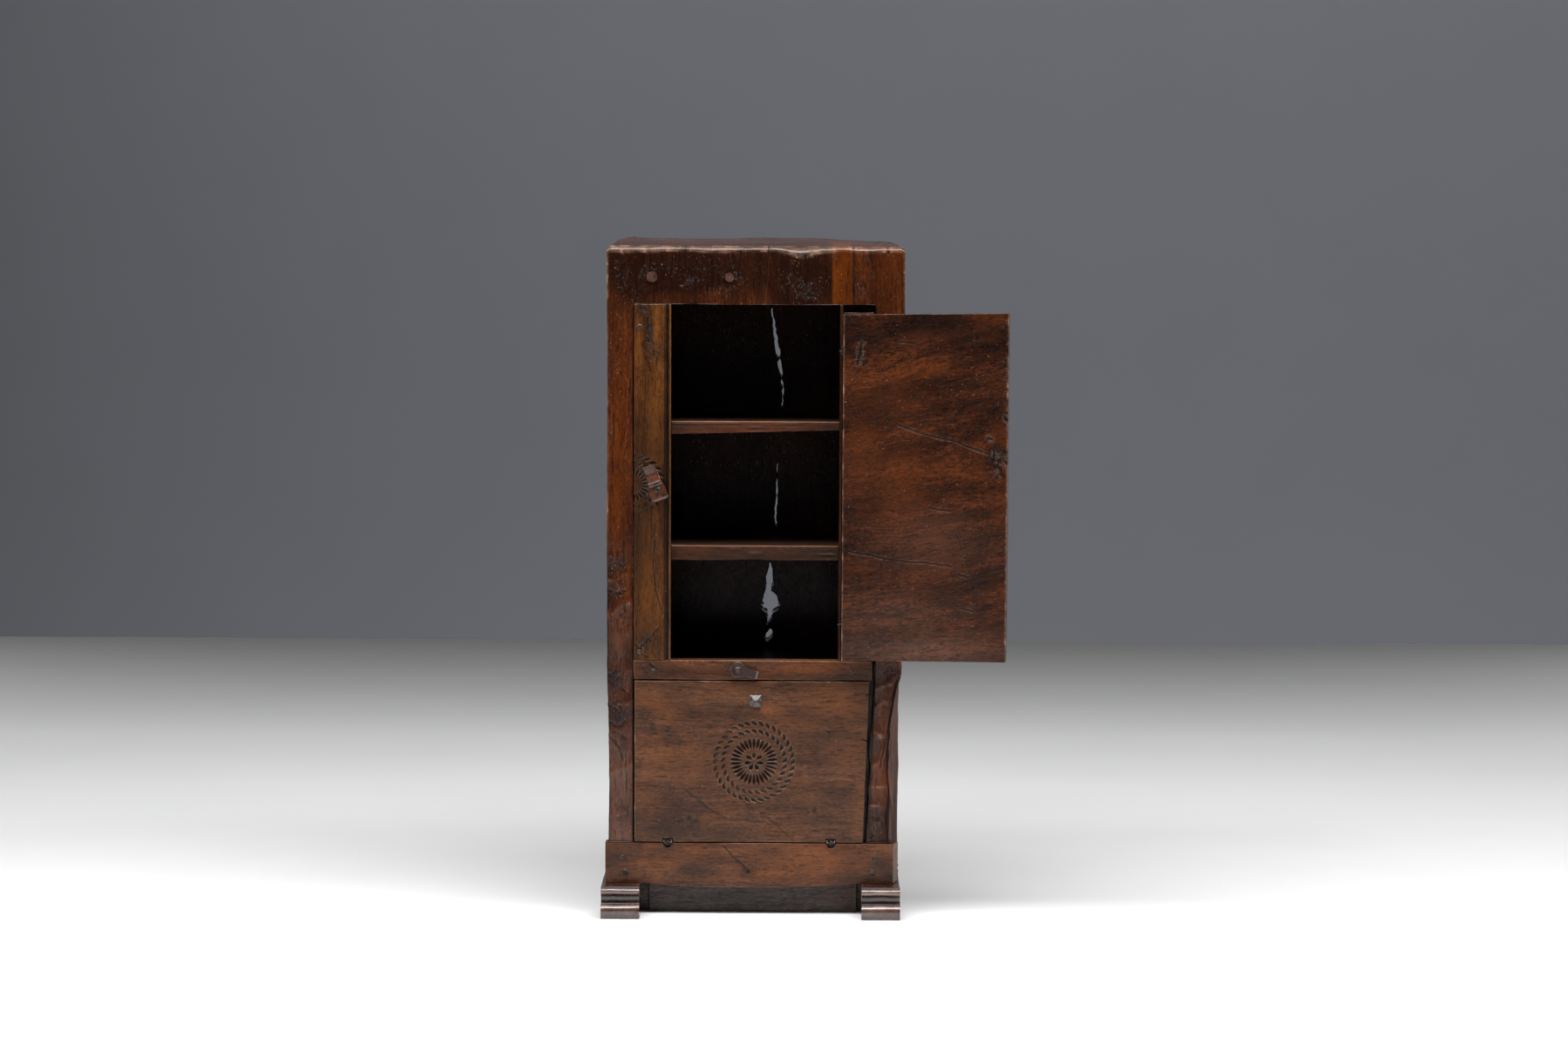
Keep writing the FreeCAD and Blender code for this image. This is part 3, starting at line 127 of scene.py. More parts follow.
class Stock:
    """A block of wood as cells between lines in x, y and z. Its skin is every face between a
    cell of wood and a cell of air, so it is closed and faces outwards."""

    def __init__(self, xs, ys, zs):
        self.lines = xs, ys, zs
        self.middles = [(line[1:] + line[:-1]) / 2 for line in self.lines]
        self.wood = np.ones([len(line) for line in self.middles], bool)

    def within(self, *ranges):
        """True for the cells whose middles lie in the ranges of x, y and z; None is all."""
        inside = [np.ones(len(m), bool) if r is None else (m > r[0]) & (m < r[1])
                  for m, r in zip(self.middles, ranges)]
        return inside[0][:, None, None] & inside[1][None, :, None] & inside[2][None, None, :]

    def cut(self, *ranges):
        """Take away the wood in the ranges of x, y and z."""
        self.wood &= ~self.within(*ranges)

    def skin(self):
        """Work out every face, its corners anticlockwise seen from the air, and the points they
        use; give the points' x, y and z. A face's key is the axis that it faces along, its side
        of the wood and its cell. Flat keeps the points as they are before any shaping."""
        filled = np.pad(self.wood, 1)
        shape = [len(line) for line in self.lines]
        faces, keys = [], []
        for axis in range(3):
            b, c = (axis + 1) % 3, (axis + 2) % 3
            low, high = [slice(1, -1)] * 3, [slice(1, -1)] * 3
            low[axis], high[axis] = slice(None, -1), slice(1, None)
            low, high = filled[tuple(low)], filled[tuple(high)]
            for turn, bare in ((1, low & ~high), (-1, ~low & high)):
                place = np.argwhere(bare)
                ring = [(0, 0), (1, 0), (1, 1), (0, 1)][::turn]
                corners = np.repeat(place[:, None, :], 4, axis=1)
                corners[:, :, b] += np.array(ring)[:, 0]
                corners[:, :, c] += np.array(ring)[:, 1]
                faces.append(np.ravel_multi_index(tuple(np.moveaxis(corners, 2, 0)), shape))
                keys.append(np.column_stack([np.full(len(place), axis),
                                             np.full(len(place), turn), place]))
        self.faces, self.keys = np.concatenate(faces), np.concatenate(keys)
        self.used = np.unique(self.faces)
        self.quads = np.searchsorted(self.used, self.faces)
        grid = np.unravel_index(self.used, shape)
        self.points = np.stack([line[n] for line, n in zip(self.lines, grid)], 1)
        self.flat = self.points.copy()
        self.marks, self.marked = np.zeros(len(self.points)), np.zeros(len(self.points), bool)
        return self.points.T

    def facing(self):
        """Every point's way outwards: the mean of its faces' ways, weighted by their areas."""
        a, b, c, d = (self.points[self.quads[:, n]] for n in range(4))
        ways = np.repeat(np.cross(c - a, d - b), 4, axis=0)
        total = np.stack([np.bincount(self.quads.ravel(), ways[:, n], len(self.points))
                          for n in range(3)], 1)
        return total / np.maximum(np.linalg.norm(total, axis=1, keepdims=True), 1e-9)

    def eased(self, rounds):
        """The points after so many rounds of moving to the mean of their neighbours."""
        start, end = self.quads.ravel(), np.roll(self.quads, -1, axis=1).ravel()
        count = np.bincount(start, minlength=len(self.points))[:, None]
        points = self.points
        for _ in range(rounds):
            points = np.stack([np.bincount(start, points[end, n], len(points))
                               for n in range(3)], 1) / count
        return points

    def press(self, depth, dark=0.0):
        """Push each point inwards by its depth; dark is how much darker the mark is made, as dirt
        and painted shade, from 0 to 1.
        """
        self.points = self.points - self.facing() * np.asarray(depth)[:, None]
        dark = np.broadcast_to(dark, len(self.points))
        self.marks = np.maximum(self.marks, dark)
        self.marked[self.quads[(dark[self.quads] > 0).any(1)]] = True

    def uneven(self, depth, size, seed):
        """Press the skin in by 0 to 2 depths, in smooth hollows of a size."""
        self.press((1 + lumps(self.points, size, seed)) * depth)

    def pit(self, where, size, seed, depth, dark):
        """Press in pits of a size, as deep and as dark as their place's share allows."""
        pits = where * np.clip(lumps(self.points, size, seed), 0, 1)
        self.press(pits * depth, pits * dark)

    def turn(self, degrees, axes, x, y):
        """Turn the points about a place in the plane of two axes, from the first to the second."""
        a, b = axes
        da, db = self.points[:, a] - x, self.points[:, b] - y
        c, s = cos(radians(degrees)), sin(radians(degrees))
        self.points[:, a], self.points[:, b] = x + c * da - s * db, y + s * da + c * db

    def loops(self, plain, block):
        """Corners of the finished faces and how many each has. Where plain is true, faces are
        joined in blocks, and a block keeps only its corners and the points other faces use."""
        sizes = np.array(block)
        b, c = (self.keys[:, 0] + 1) % 3, (self.keys[:, 0] + 2) % 3
        rows = np.arange(len(self.keys))
        place = self.keys[:, 2:].copy()
        place[rows, b] -= place[rows, b] % sizes[b]
        place[rows, c] -= place[rows, c] % sizes[c]
        joint = np.column_stack([self.keys[:, :2], place])
        joint[~plain] = -1
        blocks, which, count = np.unique(joint, axis=0, return_inverse=True, return_counts=True)
        full = sizes[(blocks[:, 0] + 1) % 3] * sizes[(blocks[:, 0] + 2) % 3]
        whole = (count == full) & (blocks[:, 0] >= 0)
        single = ~whole[which.ravel()]
        shape = [len(line) for line in self.lines]
        used = np.zeros(int(np.prod(shape)), bool)
        used[self.faces[single]] = True
        found = [self.faces[single]]
        for axis in range(3):
            b, c = (axis + 1) % 3, (axis + 2) % 3
            wide, high = block[b], block[c]
            ring = ([(n, 0) for n in range(wide)] + [(wide, n) for n in range(high)]
                    + [(wide - n, high) for n in range(wide)]
                    + [(0, high - n) for n in range(high)])
            for turn in (1, -1):
                chosen = blocks[whole & (blocks[:, 0] == axis) & (blocks[:, 1] == turn)][:, 2:]
                corners = np.repeat(chosen[:, None, :], len(ring), axis=1)
                corners[:, :, b] += np.array(ring[::turn])[:, 0]
                corners[:, :, c] += np.array(ring[::turn])[:, 1]
                numbers = np.ravel_multi_index(tuple(np.moveaxis(corners, 2, 0)), shape)
                ends = [u in (0, wide) and v in (0, high) for u, v in ring[::turn]]
                used[numbers[:, ends]] = True
                found.append(numbers)
        kept = [used[numbers] for numbers in found]
        corners = np.concatenate([numbers[mask] for numbers, mask in zip(found, kept)])
        return corners, np.concatenate([mask.sum(1) for mask in kept])

    def behind(self, y):
        """True for the faces whose middles lay behind a y before any shaping."""
        return self.flat[self.quads][:, :, 1].mean(1) > y

    def piece(self, name, finish, body, slot, nodes, plain=None, block=(1, 1, 1), wear_depth=0.5,
              polish_and_highlight=0.0, **tones):
        """The finished piece in metres, with its tones for the finish: what stands out from its
        surroundings is worn, and where polish_and_highlight is given it is lighter and glossier, as
        real polish and as a painted highlight. What lies below its surroundings is darker, as dirt
        and as painted shade. Marks, and what lies close to them, are less worn. Pitch is the mean
        length of a point's edges: where the points lie further apart, the same stand is counted for
        less."""
        proud = ((self.points - self.eased(3)) * self.facing()).sum(1) / wear_depth
        sides = self.points[self.quads] - self.points[np.roll(self.quads, 1, axis=1)]
        pitch = (np.bincount(self.quads.ravel(), np.linalg.norm(sides, axis=2).ravel())
                 / np.bincount(self.quads.ravel()))
        proud /= np.maximum(pitch / 2.6, 1) ** 2
        rubbed = np.clip(proud * 1.3 - 0.3, 0, 1) * (0.55 + 0.45 * lumps(self.points, 18, 7))
        near = self.marks.copy()
        for _ in range(2):
            np.maximum.at(near, self.quads, near[self.quads].max(1)[:, None])
        rubbed *= np.where(self.marked, 0.35, 1) * (1 - 0.7 * np.clip(near, 0, 1))
        tones["wear_and_highlight"] = np.maximum(rubbed, polish_and_highlight)
        # low places and marks are darkened, partly as dirt and partly as painted shade
        tones["dirt_and_shade"] = np.clip(np.maximum(-proud, self.marks), 0, 1)
        if plain is None:
            plain = np.zeros(len(self.quads), bool)
        corners, counts = self.loops(plain, block)
        kept, corners = np.unique(corners, return_inverse=True)
        kept = np.searchsorted(self.used, kept)
        mesh = bpy.data.meshes.new(name)
        mesh.vertices.add(len(kept))
        mesh.loops.add(len(corners))
        mesh.polygons.add(len(counts))
        mesh.vertices.foreach_set("co", (self.points[kept] * 0.001).ravel())
        mesh.loops.foreach_set("vertex_index", corners.ravel())
        mesh.polygons.foreach_set("loop_start", np.cumsum(counts) - counts)
        mesh.update(calc_edges=True)
        mesh.shade_smooth()
        for tone, values in tones.items():
            values = np.broadcast_to(np.asarray(values, float), len(self.points))
            mesh.attributes.new(tone, "FLOAT", "POINT").data.foreach_set(
                "value", values[kept].astype(np.float32))
        mesh.materials.append(finish)
        made = bpy.data.objects.new(name, mesh)
        bpy.context.collection.objects.link(made)
        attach(made, body)
        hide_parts(*nodes)


class Layer:
    """An output of a shader node. The operators add Math nodes; add() adds any other node."""

    def __init__(self, tree, socket=None):
        self.tree, self.socket = tree, socket

    def add(self, kind, sockets=(), output=0, stops=(), **settings):
        """A new node: its settings and ramp stops first, then its sockets' values or links."""
        node = self.tree.nodes.new("ShaderNode" + kind)
        for name, value in settings.items():
            setattr(node, name, value)
        for number, (place, colour) in enumerate(stops):
            ramp = node.color_ramp.elements
            stop = ramp[number] if number < 2 else ramp.new(place)
            stop.position, stop.color = place, (*colour, 1)
        for name, value in dict(sockets).items():
            if isinstance(value, Layer):
                self.tree.links.new(value.socket, node.inputs[name])
            else:
                node.inputs[name].default_value = value
        return Layer(self.tree, node.outputs[output] if len(node.outputs) else None)

    def maths(self, operation, first, second, clamp=False):
        """A Math node on two numbers or links."""
        return self.add("Math", {0: first, 1: second}, operation=operation, use_clamp=clamp)

    def __add__(self, other): return self.maths("ADD", self, other)
    def __sub__(self, other): return self.maths("SUBTRACT", self, other)
    def __rsub__(self, other): return self.maths("SUBTRACT", other, self)
    def __mul__(self, other): return self.maths("MULTIPLY", self, other)
    __radd__, __rmul__ = __add__, __mul__

    def share(self, low, high):
        """0 below low, 1 above high, and even between."""
        return self.maths("MULTIPLY", self - low, 1 / (high - low), clamp=True)

    def towards(self, colour, share):
        """This colour mixed towards another by a share."""
        return self.add("Mix", {0: share, 6: self, 7: colour}, output=2, data_type="RGBA")


def tint(red, green, blue):
    """A colour as a screen shows it, 0 to 255, as the shader's own values."""
    parts = (np.array([red, green, blue]) / 255 + 0.055) / 1.055
    return tuple(parts ** 2.4)


def wood(name, grain, dark, middle, light, glow, worn, blotch=0.5, rough=0.3, coat=0.12,
         relief=0.6, wave=0.03, shine=0.2, fall=0.0, smoke=0.2):
    """Old waxed wood: bent streaks, fibres and short dark pores along its grain, smoky clouds
    and amber patches over them, pale nicks, lighter and glossier arrises where it was rubbed
    and where a highlight is painted, and dirt and painted shade in every low place. A piece's
    own tones are wear_and_highlight, dirt_and_shade, glow (amber), burn (dark stains
    and painted shade), scar (wormholes), fade (dusty) and dry (unpolished). Fall is the grain's
    slope in degrees."""
    material = bpy.data.materials.new(name)
    material.use_nodes = True
    tree = material.node_tree
    tree.nodes.clear()
    start = Layer(tree)
    spot = start.add("TexCoord", output="Object")
    swirl = start.add("TexNoise", {"Vector": spot, "Scale": 4.0, "Detail": 3.0}, output="Color")
    swirl = start.add("VectorMath", {0: swirl, 1: (0.5,) * 3}, operation="SUBTRACT")
    swirl = start.add("VectorMath", {0: swirl, "Scale": wave}, operation="SCALE")
    bent = start.add("VectorMath", {0: spot, 1: swirl}, operation="ADD")
    bent = start.add("VectorRotate", {"Vector": bent, "Angle": radians(fall)},
                     rotation_type="Y_AXIS")

    def noise(scale, detail, rough, stretch):
        """Noise whose lumps are stretched along the grain."""
        squeeze = [1 / stretch if axis == grain else 1 for axis in "XYZ"]
        place = start.add("VectorMath", {0: bent, 1: squeeze}, operation="MULTIPLY")
        return start.add("TexNoise", {"Vector": place, "Scale": scale, "Detail": detail,
                                      "Roughness": rough})

    figure, streak = noise(26, 4, 0.6, 14), noise(150, 5, 0.7, 18)
    fibre, mottle = noise(900, 3, 0.6, 14), noise(230, 4, 0.7, 2)
    cloud, amber = noise(7.5, 5, 0.62, 1.6), noise(11, 4, 0.6, 1.3)
    wear_and_highlight, dirt_and_shade, sap, burn, scar, fade, dry = (
        start.add("Attribute", attribute_name=tone, output="Fac")
        for tone in ("wear_and_highlight", "dirt_and_shade", "glow", "burn", "scar", "fade", "dry"))
    pore = noise(330, 3, 0.6, 8).share(0.54, 0.64)
    nick = (noise(330, 3, 0.6, 1.5) + scar * 0.06).share(0.67, 0.73)
    hole = (noise(190, 6, 0.78, 1.5) + scar * 0.13).share(0.63, 0.68)
    lump = noise(60, 3, 0.6, 2)
    dark = np.array(dark)
    dull = dark * 0.4 + np.mean(dark) * smoke
    tone = figure * 0.34 + streak * 0.28 + fibre * 0.16 + mottle * 0.22
    colour = start.add("ValToRGB", {"Fac": tone},
                       stops=((0.42, dark), (0.51, middle), (0.6, light)))
    patch = amber.share(0.5, 0.66) * 0.55
    colour = colour.towards((*glow, 1), sap.maths("MAXIMUM", sap, patch) * (0.3 + mottle * 0.9))
    colour = colour.towards((*tint(112, 84, 70), 1), fade * (0.1 + streak * 0.9 + mottle * 0.3))
    # dark stains and smoky clouds; burn also brings the shade painted inside the hollow, towards
    # the back of the shelves and in the toes' coves
    shade = burn.maths("MAXIMUM", burn, cloud.share(0.5, 0.68) * blotch)
    colour = colour.towards((*dull, 1), shade * (0.35 + streak * 1.1))
    colour = colour.towards((*(dark * 0.3), 1), pore * 0.6)
    colour = colour.towards((*(dark * 0.15), 1), hole * (0.35 + scar * 0.5))
    colour = colour.towards((*(np.array(worn) * 0.8), 1), nick * 0.45)
    # lighter where worn and where a highlight is painted; darker in low places, as dirt and painted
    # shade
    colour = colour.towards((*worn, 1), wear_and_highlight * (0.1 + mottle * 1.2))
    colour = colour.towards((*(dark * 0.1), 1), dirt_and_shade * 0.9)
    height = (streak * 0.4 + fibre * 0.2 - pore * 0.3 + mottle * 0.5 - nick * 0.4 + lump * 1.6
              - hole * (0.3 + scar * 0.9))
    bump = start.add("Bump", {"Height": height, "Strength": relief, "Distance": 0.0008})
    roughness = (rough + (mottle - 0.5) * 0.2 + dirt_and_shade * 0.1 - wear_and_highlight * 0.12 + (cloud - 0.5) * 0.2
                 + dry * 0.4)
    surface = start.add("BsdfPrincipled", {
        "Base Color": colour, "Roughness": roughness, "Normal": bump,
        "Coat Weight": coat + wear_and_highlight * 1.2 - dry * coat, "Coat Roughness": 0.16,
        "Specular IOR Level": shine})
    start.add("OutputMaterial", {"Surface": surface})
    return material


trunk_wood = wood("old_trunk_wood", "Z", tint(44, 19, 9), tint(72, 34, 16), tint(108, 56, 28),
                  tint(104, 48, 4), tint(196, 150, 124), rough=0.24, smoke=0.03)

# The trunk's planes: half its width and its hollow's and both sides of the rebate in x; its
# face, the rebate, the hollow's back and its own back in y; and in z its underside, the hollow's
# floor, the top of its foot, the head's underside, the head's top and the highest point allowed.
SIDE, HOLLOW, LEFT_REBATE, RIGHT_REBATE = 274, 200, -222.5, 217.5
FACE, REBATE, WALL, BACK = -40, -15, 250, 315
UNDER, FLOOR, FOOT, HEAD, TOP, SUMMIT = 60, 130, 135, 1127.5, 1235, 1248.3

# The crack through its back from the top down: height, left edge and right edge. It is open in
# four runs, pinched shut at some heights (height, reach), and cut along a straight seam.
CRACK = np.array([
    (1117.7, 26.2, 28.0), (1086.4, 29.6, 33.3), (1061.0, 31.6, 38.2), (1035.6, 35.1, 43.9),
    (993.8, 43.4, 48.7), (968.4, 47.0, 51.4), (943.6, 48.5, 51.0), (925.4, 47.4, 49.3),
    (815.8, 41.3, 42.8), (785.2, 37.9, 40.7), (755.2, 37.0, 40.8), (724.6, 35.9, 39.1),
    (695.9, 36.7, 38.3), (626.8, 26.2, 28.0), (606.6, 21.6, 30.5), (584.4, 18.8, 31.6),
    (570.7, 19.7, 29.3), (564.2, 17.7, 37.0), (555.7, 10.5, 43.9), (543.3, 9.2, 45.6),
    (534.2, 14.6, 41.9), (527.7, 21.9, 33.1), (515.9, 21.6, 28.5), (506.1, 20.9, 22.6),
    (495.7, 27.7, 31.6), (489.2, 22.3, 33.1), (480.7, 19.7, 30.8), (472.9, 20.8, 24.6)])
PINCHES = ((1017, 3), (979, 6), (962, 3), (941, 6), (790, 9), (751, 3))
CRACK_RUNS = ((925.4, 1117.7), (695.9, 815.8), (506.1, 626.8), (472.9, 495.7))
SEAM = (38, 40)

trunk = Stock(lines([-SIDE, LEFT_REBATE, -HOLLOW, 14, 27, *SEAM, 175, 181, HOLLOW, RIGHT_REBATE,
                     SIDE], [2.2, 4, 3, 1.1, 3, 2, 3, 1.2, 3, 4, 2.2]),
              lines([FACE, REBATE, WALL, BACK], [2.8, 16, 8]),
              lines([UNDER, FLOOR, FOOT, HEAD, TOP], [3.9, 2.5, 3.9, 2.5]))
trunk.cut((-HOLLOW, HOLLOW), (FACE - 1, WALL), (FLOOR, HEAD))
trunk.cut((LEFT_REBATE, RIGHT_REBATE), (FACE - 1, REBATE), (FOOT, HEAD))
trunk.cut(None, (FACE - 1, REBATE), (UNDER, FOOT))
for run in CRACK_RUNS:
    trunk.cut(SEAM, (WALL, BACK + 1), run)
x, y, z = trunk.skin()
# the right stile is wider at its foot, and the cracks wander from the seam they are cut along
edge = np.interp(z, [FOOT, 440, HEAD], [207, 222, RIGHT_REBATE])
move = np.interp(x, [HOLLOW, RIGHT_REBATE, SIDE], [0, 1, 0]) * (edge - RIGHT_REBATE) * (y < 60)
left, right = (np.interp(z, CRACK[::-1, 0], CRACK[::-1, n]) for n in (1, 2))
closed = sum(np.exp(-((z - place) / reach) ** 4) for place, reach in PINCHES)
ragged = np.random.default_rng(8).uniform(-1, 1, (2, 400))[:, np.rint(z / 6.5).astype(int)]
middle, width = (left + right) / 2 + ragged[0] * 1.5, (right - left) * (1 + 0.25 * ragged[1])
width = np.maximum(width * (1 - np.clip(closed, 0, 1)), 0.1)
left, right = middle - width / 2, middle + width / 2
seam = np.where(x < sum(SEAM) / 2,
                (left - SEAM[0]) * np.clip(1 - (SEAM[0] - x) / 70, 0, 1),
                (right - SEAM[1]) * np.clip(1 - (x - SEAM[1]) / 70, 0, 1))
trunk.points[:, 0] += move + np.where(y > WALL - 1, seam, 0)
# hollow's corners, outer corners and top arrises, then the crown of the top
for side in (-1, 1):
    trunk.points = rounded(trunk.points, (0, 1), (HOLLOW * side, WALL), (side, 1), 30)
    trunk.points = rounded(trunk.points, (0, 1), (SIDE * side, BACK), (side, 1), 45)
    trunk.points = rounded(trunk.points, (0, 1), (SIDE * side, FACE), (side, -1),
                           4 + 4 * np.clip((470 - z) / 60, 0, 1) * (side > 0))
    trunk.points = rounded(trunk.points, (0, 2), (SIDE * side, TOP), (side, 1), 13)
arris = 13 + 3 * lumps(trunk.flat * [1, 0, 0], 40, 12) + 8 * np.exp(-((x - 85) / 38) ** 2)
trunk.points = rounded(trunk.points, (1, 2), (FACE, TOP), (-1, 1), arris)
crown = np.interp(x, [-SIDE, -255, -140, 20, 110, 215, SIDE],
                  [10.7, 13.1, 9.7, 13.1, 13.1, 6.7, 4.7])
crown -= 2 * np.clip(lumps(trunk.flat * [1, 1, 0], (45, 90, 9), 11), 0, 1)
trunk.points[:, 2] += (crown * np.clip((y - FACE) / (BACK - FACE), 0, 1)
                       * np.clip((z - HEAD) / (TOP - HEAD), 0, 1))
# below the flap's top the right side was cut back at its front, down to the foot
cutback = np.interp(z, [UNDER, FOOT, 300, 350, 405, 450], [13, 16, 21, 18, 10, 0])
cutback *= 1 + 0.3 * lumps(trunk.flat, (400, 60, 45), 9)
trunk.points[:, 0] -= (cutback * np.clip((x - RIGHT_REBATE) / (SIDE - RIGHT_REBATE), 0, 1)
                       * np.clip((85 - y) / 125, 0, 1))
lean = np.interp(z, [UNDER, 150, 250, 340, 450, 700, 1000, TOP], [2, 3.5, 5, 3.5, 1, 0.5, 1.5, 0])
trunk.points[:, 0] += lean * np.clip((LEFT_REBATE - x) / (SIDE + LEFT_REBATE), 0, 1)
trunk.press(1 + lumps(trunk.points, (60, 90, 230), 1)
            + 0.35 * (1 + lumps(trunk.points, (14, 40, 90), 2)))
# scoops of the adze on the sides and back, and broad ones across the lower stiles
x, y, z = trunk.points.T
ways = trunk.facing()
trunk.press(hewn(y, z, (80, 120), 14) * 3 * (np.abs(ways[:, 0]) > 0.7) * (np.abs(x) > 230)
            + hewn(x, z, (90, 130), 15) * 4.5 * (ways[:, 1] > 0.7) * (y > 290))
front = (ways[:, 1] < -0.4) & (y < -30)
low = np.clip((470 - z) / 40, 0, 1) * np.clip((x - 190) / 20, 0, 1)
low += 0.5 * np.clip((700 - z) / 60, 0, 1) * np.clip((-215 - x) / 8, 0, 1)
bent = z - x * 0.35 + 9 * lumps(trunk.points, (22, 22, 30), 17)
trunk.press(hewn(x * 0.8 + z * 0.25, bent, (60, 44), 16) * 3 * front * low)
x, y, z = trunk.points.T
front = (trunk.facing()[:, 1] < -0.4) & (y < -30)
for path, width, depth in (
    # head: splits, ticks and scratches
    ([(-222, 1128), (-214, 1146), (-203, 1160)], 3, 2.5), ([(-130, 1236), (-129, 1196)], 3, 0.9),
    ([(240, 1236), (241, 1222)], 3, 1.6),
    ([(24, 1236), (21, 1196), (20, 1178), (15, 1130)], 1.7, 2),
    ([(177, 1236), (177.5, 1190), (178.5, 1127)], 1.8, 1.2), ([(-28, 1230), (-27, 1190)], 2, 0.6),
    ([(-141, 1166), (-112, 1170), (-75, 1178)], 2, 0.6), ([(-112, 1206), (-70, 1222)], 2, 0.5),
    # left stile: ticks and shakes
    ([(-262, 1010), (-258, 900), (-260, 820)], 1.8, 0.8), ([(-240, 700), (-237, 560)], 1.6, 0.7),
    ([(-272, 664), (-262, 660)], 2.6, 1.6), ([(-236, 300), (-232, 180)], 2, 1),
    # left stile: cuts of the axe beside the flap and above it
    ([(-273, 394), (-256, 384), (-244, 389)], 3.2, 1.8),
    ([(-270, 360), (-250, 350), (-236, 362)], 3.2, 1.8),
    ([(-264, 330), (-248, 312), (-242, 288)], 3, 1.6),
    ([(-272, 450), (-252, 440), (-238, 453)], 3, 1.6), ([(-246, 424), (-230, 410)], 3, 1.2),
    ([(-258, 342), (-236, 330)], 2.8, 1.2), ([(-270, 604), (-250, 597), (-234, 604)], 3, 1.4),
    ([(-268, 656), (-238, 647)], 3, 1.2),
    # right stile below the door: a diagonal crack and a pale scratch
    ([(262, 440), (256, 408), (246, 340), (233, 278)], 2.4, 2.2), ([(240, 330), (226, 290)], 2, 1),
):
    mark = crack(x + 0.7 * lumps(trunk.points, 14, 5), z, path, width) * front
    trunk.press(mark * depth, mark)
x, y, z = trunk.points.T
scar = stains(x, z, [
    (90, 1154, 26, 22, 0.9), (104, 1141, 14, 6, 1), (70, 1170, 20, 30, 0.6),
    (-196, 1186, 20, 14, 0.8), (-38, 1184, 11, 11, 0.8), (-118, 1172, 20, 14, 0.8),
    (-168, 1196, 24, 16, 0.6), (-30, 1180, 20, 20, 0.5), (80, 1224, 34, 14, 0.8),
    (-90, 1190, 90, 34, 0.35), (190, 1150, 20, 22, 0.4), (-245, 1180, 22, 50, 0.5),
    (-252, 372, 22, 34, 1), (-250, 320, 14, 30, 0.7), (-256, 440, 18, 26, 1),
    (-252, 600, 22, 16, 0.8), (-246, 470, 14, 30, 0.6), (236, 398, 16, 14, 0.75),
    (250, 452, 22, 20, 1), (230, 372, 16, 14, 0.7), (226, 170, 20, 36, 0.9),
    (244, 330, 22, 20, 0.5), (222, 148, 16, 18, 1), (-244, 190, 16, 40, 0.6),
    (-256, 1020, 14, 60, 0.6), (-252, 650, 22, 26, 1), (-240, 560, 16, 30, 0.8),
    (-262, 900, 10, 40, 0.6), (-60, 1150, 40, 20, 0.5), (262, 440, 12, 30, 0.9)]) * (y < 30)
trunk.pit(scar * front, (7, 7, 9), 6, 1.4, 0.3)
trunk.points[:, 2] = np.minimum(z, SUMMIT)
side = (trunk.facing()[:, 0] > 0.6) & (x > 200)
hacked = np.clip(lumps(trunk.points, (20, 30, 34), 13) + 0.1, 0, 1) * side * (z < 470)
trunk.press(hacked * 5, hacked * 0.1)
# the tones of the front and of the top fade out over the depth, and the head is smoked, apart
# from the glowing stripe at its right
x, y, z = trunk.points.T
depth = np.where(z > 1205, np.clip((260 - y) / 250, 0, 1), np.clip((110 - y) / 80, 0, 1))
head = (np.clip((z - 1085 + 20 * lumps(trunk.points, 30, 18)) / 80, 0, 1)
        * (1 - 0.55 * np.clip((x - 165) / 20, 0, 1)))
stripe = np.clip((x - 138) / 3, 0, 1) * np.clip((177 - x) / 3, 0, 1) * (z > HEAD - 0.5)
glow = np.maximum(stripe, stains(x, z, [
    (-250, 960, 16, 150, 0.9), (-252, 760, 14, 90, 0.8), (-234, 620, 8, 60, 0.8),
    (-246, 540, 14, 60, 0.6), (240, 1180, 24, 50, 0.5), (21, 1205, 3, 30, 0.9),
    (19, 1150, 3, 26, 0.8), (-80, 1150, 50, 16, 0.4), (-150, 1215, 40, 16, 0.4),
    (238, 385, 20, 30, 0.7), (236, 262, 24, 60, 1), (240, 340, 24, 40, 0.8)])) * depth
burn = np.clip(stains(x, z, [
    (92, 1154, 46, 30, 0.9), (40, 1180, 16, 70, 0.7), (-210, 1170, 26, 40, 0.6),
    (-120, 1176, 60, 26, 0.6), (-250, 370, 24, 30, 1), (-258, 440, 20, 26, 1),
    (-238, 320, 12, 24, 0.6), (-250, 300, 12, 30, 0.2), (-244, 655, 20, 24, 0.7),
    (-238, 700, 12, 60, 0.5), (-256, 590, 18, 26, 0.6), (-262, 640, 10, 16, 0.8),
    (-232, 480, 10, 40, 0.6), (228, 320, 16, 20, 0.5), (232, 176, 26, 34, 0.7),
    (240, 450, 30, 26, 0.7), (250, 300, 10, 30, 0.3)]) + 0.9 * head, 0, 1) * depth * (1 - stripe)
scratches = [crack(x + 2 * lumps(trunk.points, 24, 20), z, path, 2.4) for path in (
    [(-152, 1150), (-60, 1188)], [(-78, 1190), (-40, 1212)], [(-172, 1206), (-140, 1180)],
    [(-104, 1216), (-84, 1178)], [(-66, 1160), (-30, 1172)], [(60, 1204), (112, 1190)],
    [(-238, 1190), (-216, 1152)], [(200, 1222), (214, 1176)], [(-262, 1120), (-240, 1096)],
    [(-150, 1196), (-110, 1176)])]
scratches = np.max(scratches, axis=0) * (z < 1222) * np.clip(0.5 + lumps(trunk.points, 9, 21), 0, 1)
fade = stains(x, z, [(-246, 260, 30, 80, 0.75), (-246, 140, 30, 60, 0.7), (-252, 500, 20, 60, 0.4),
                     (238, 340, 36, 110, 0.3), (238, 180, 36, 80, 0.25),
                     (245, 450, 24, 30, 0.3)]) * depth
fade = np.maximum(fade, scratches * (y < -30))
dry = np.clip((480 - z) / 30, 0, 1) * np.clip((x - 228) / 16, 0, 1)
ways = trunk.facing()
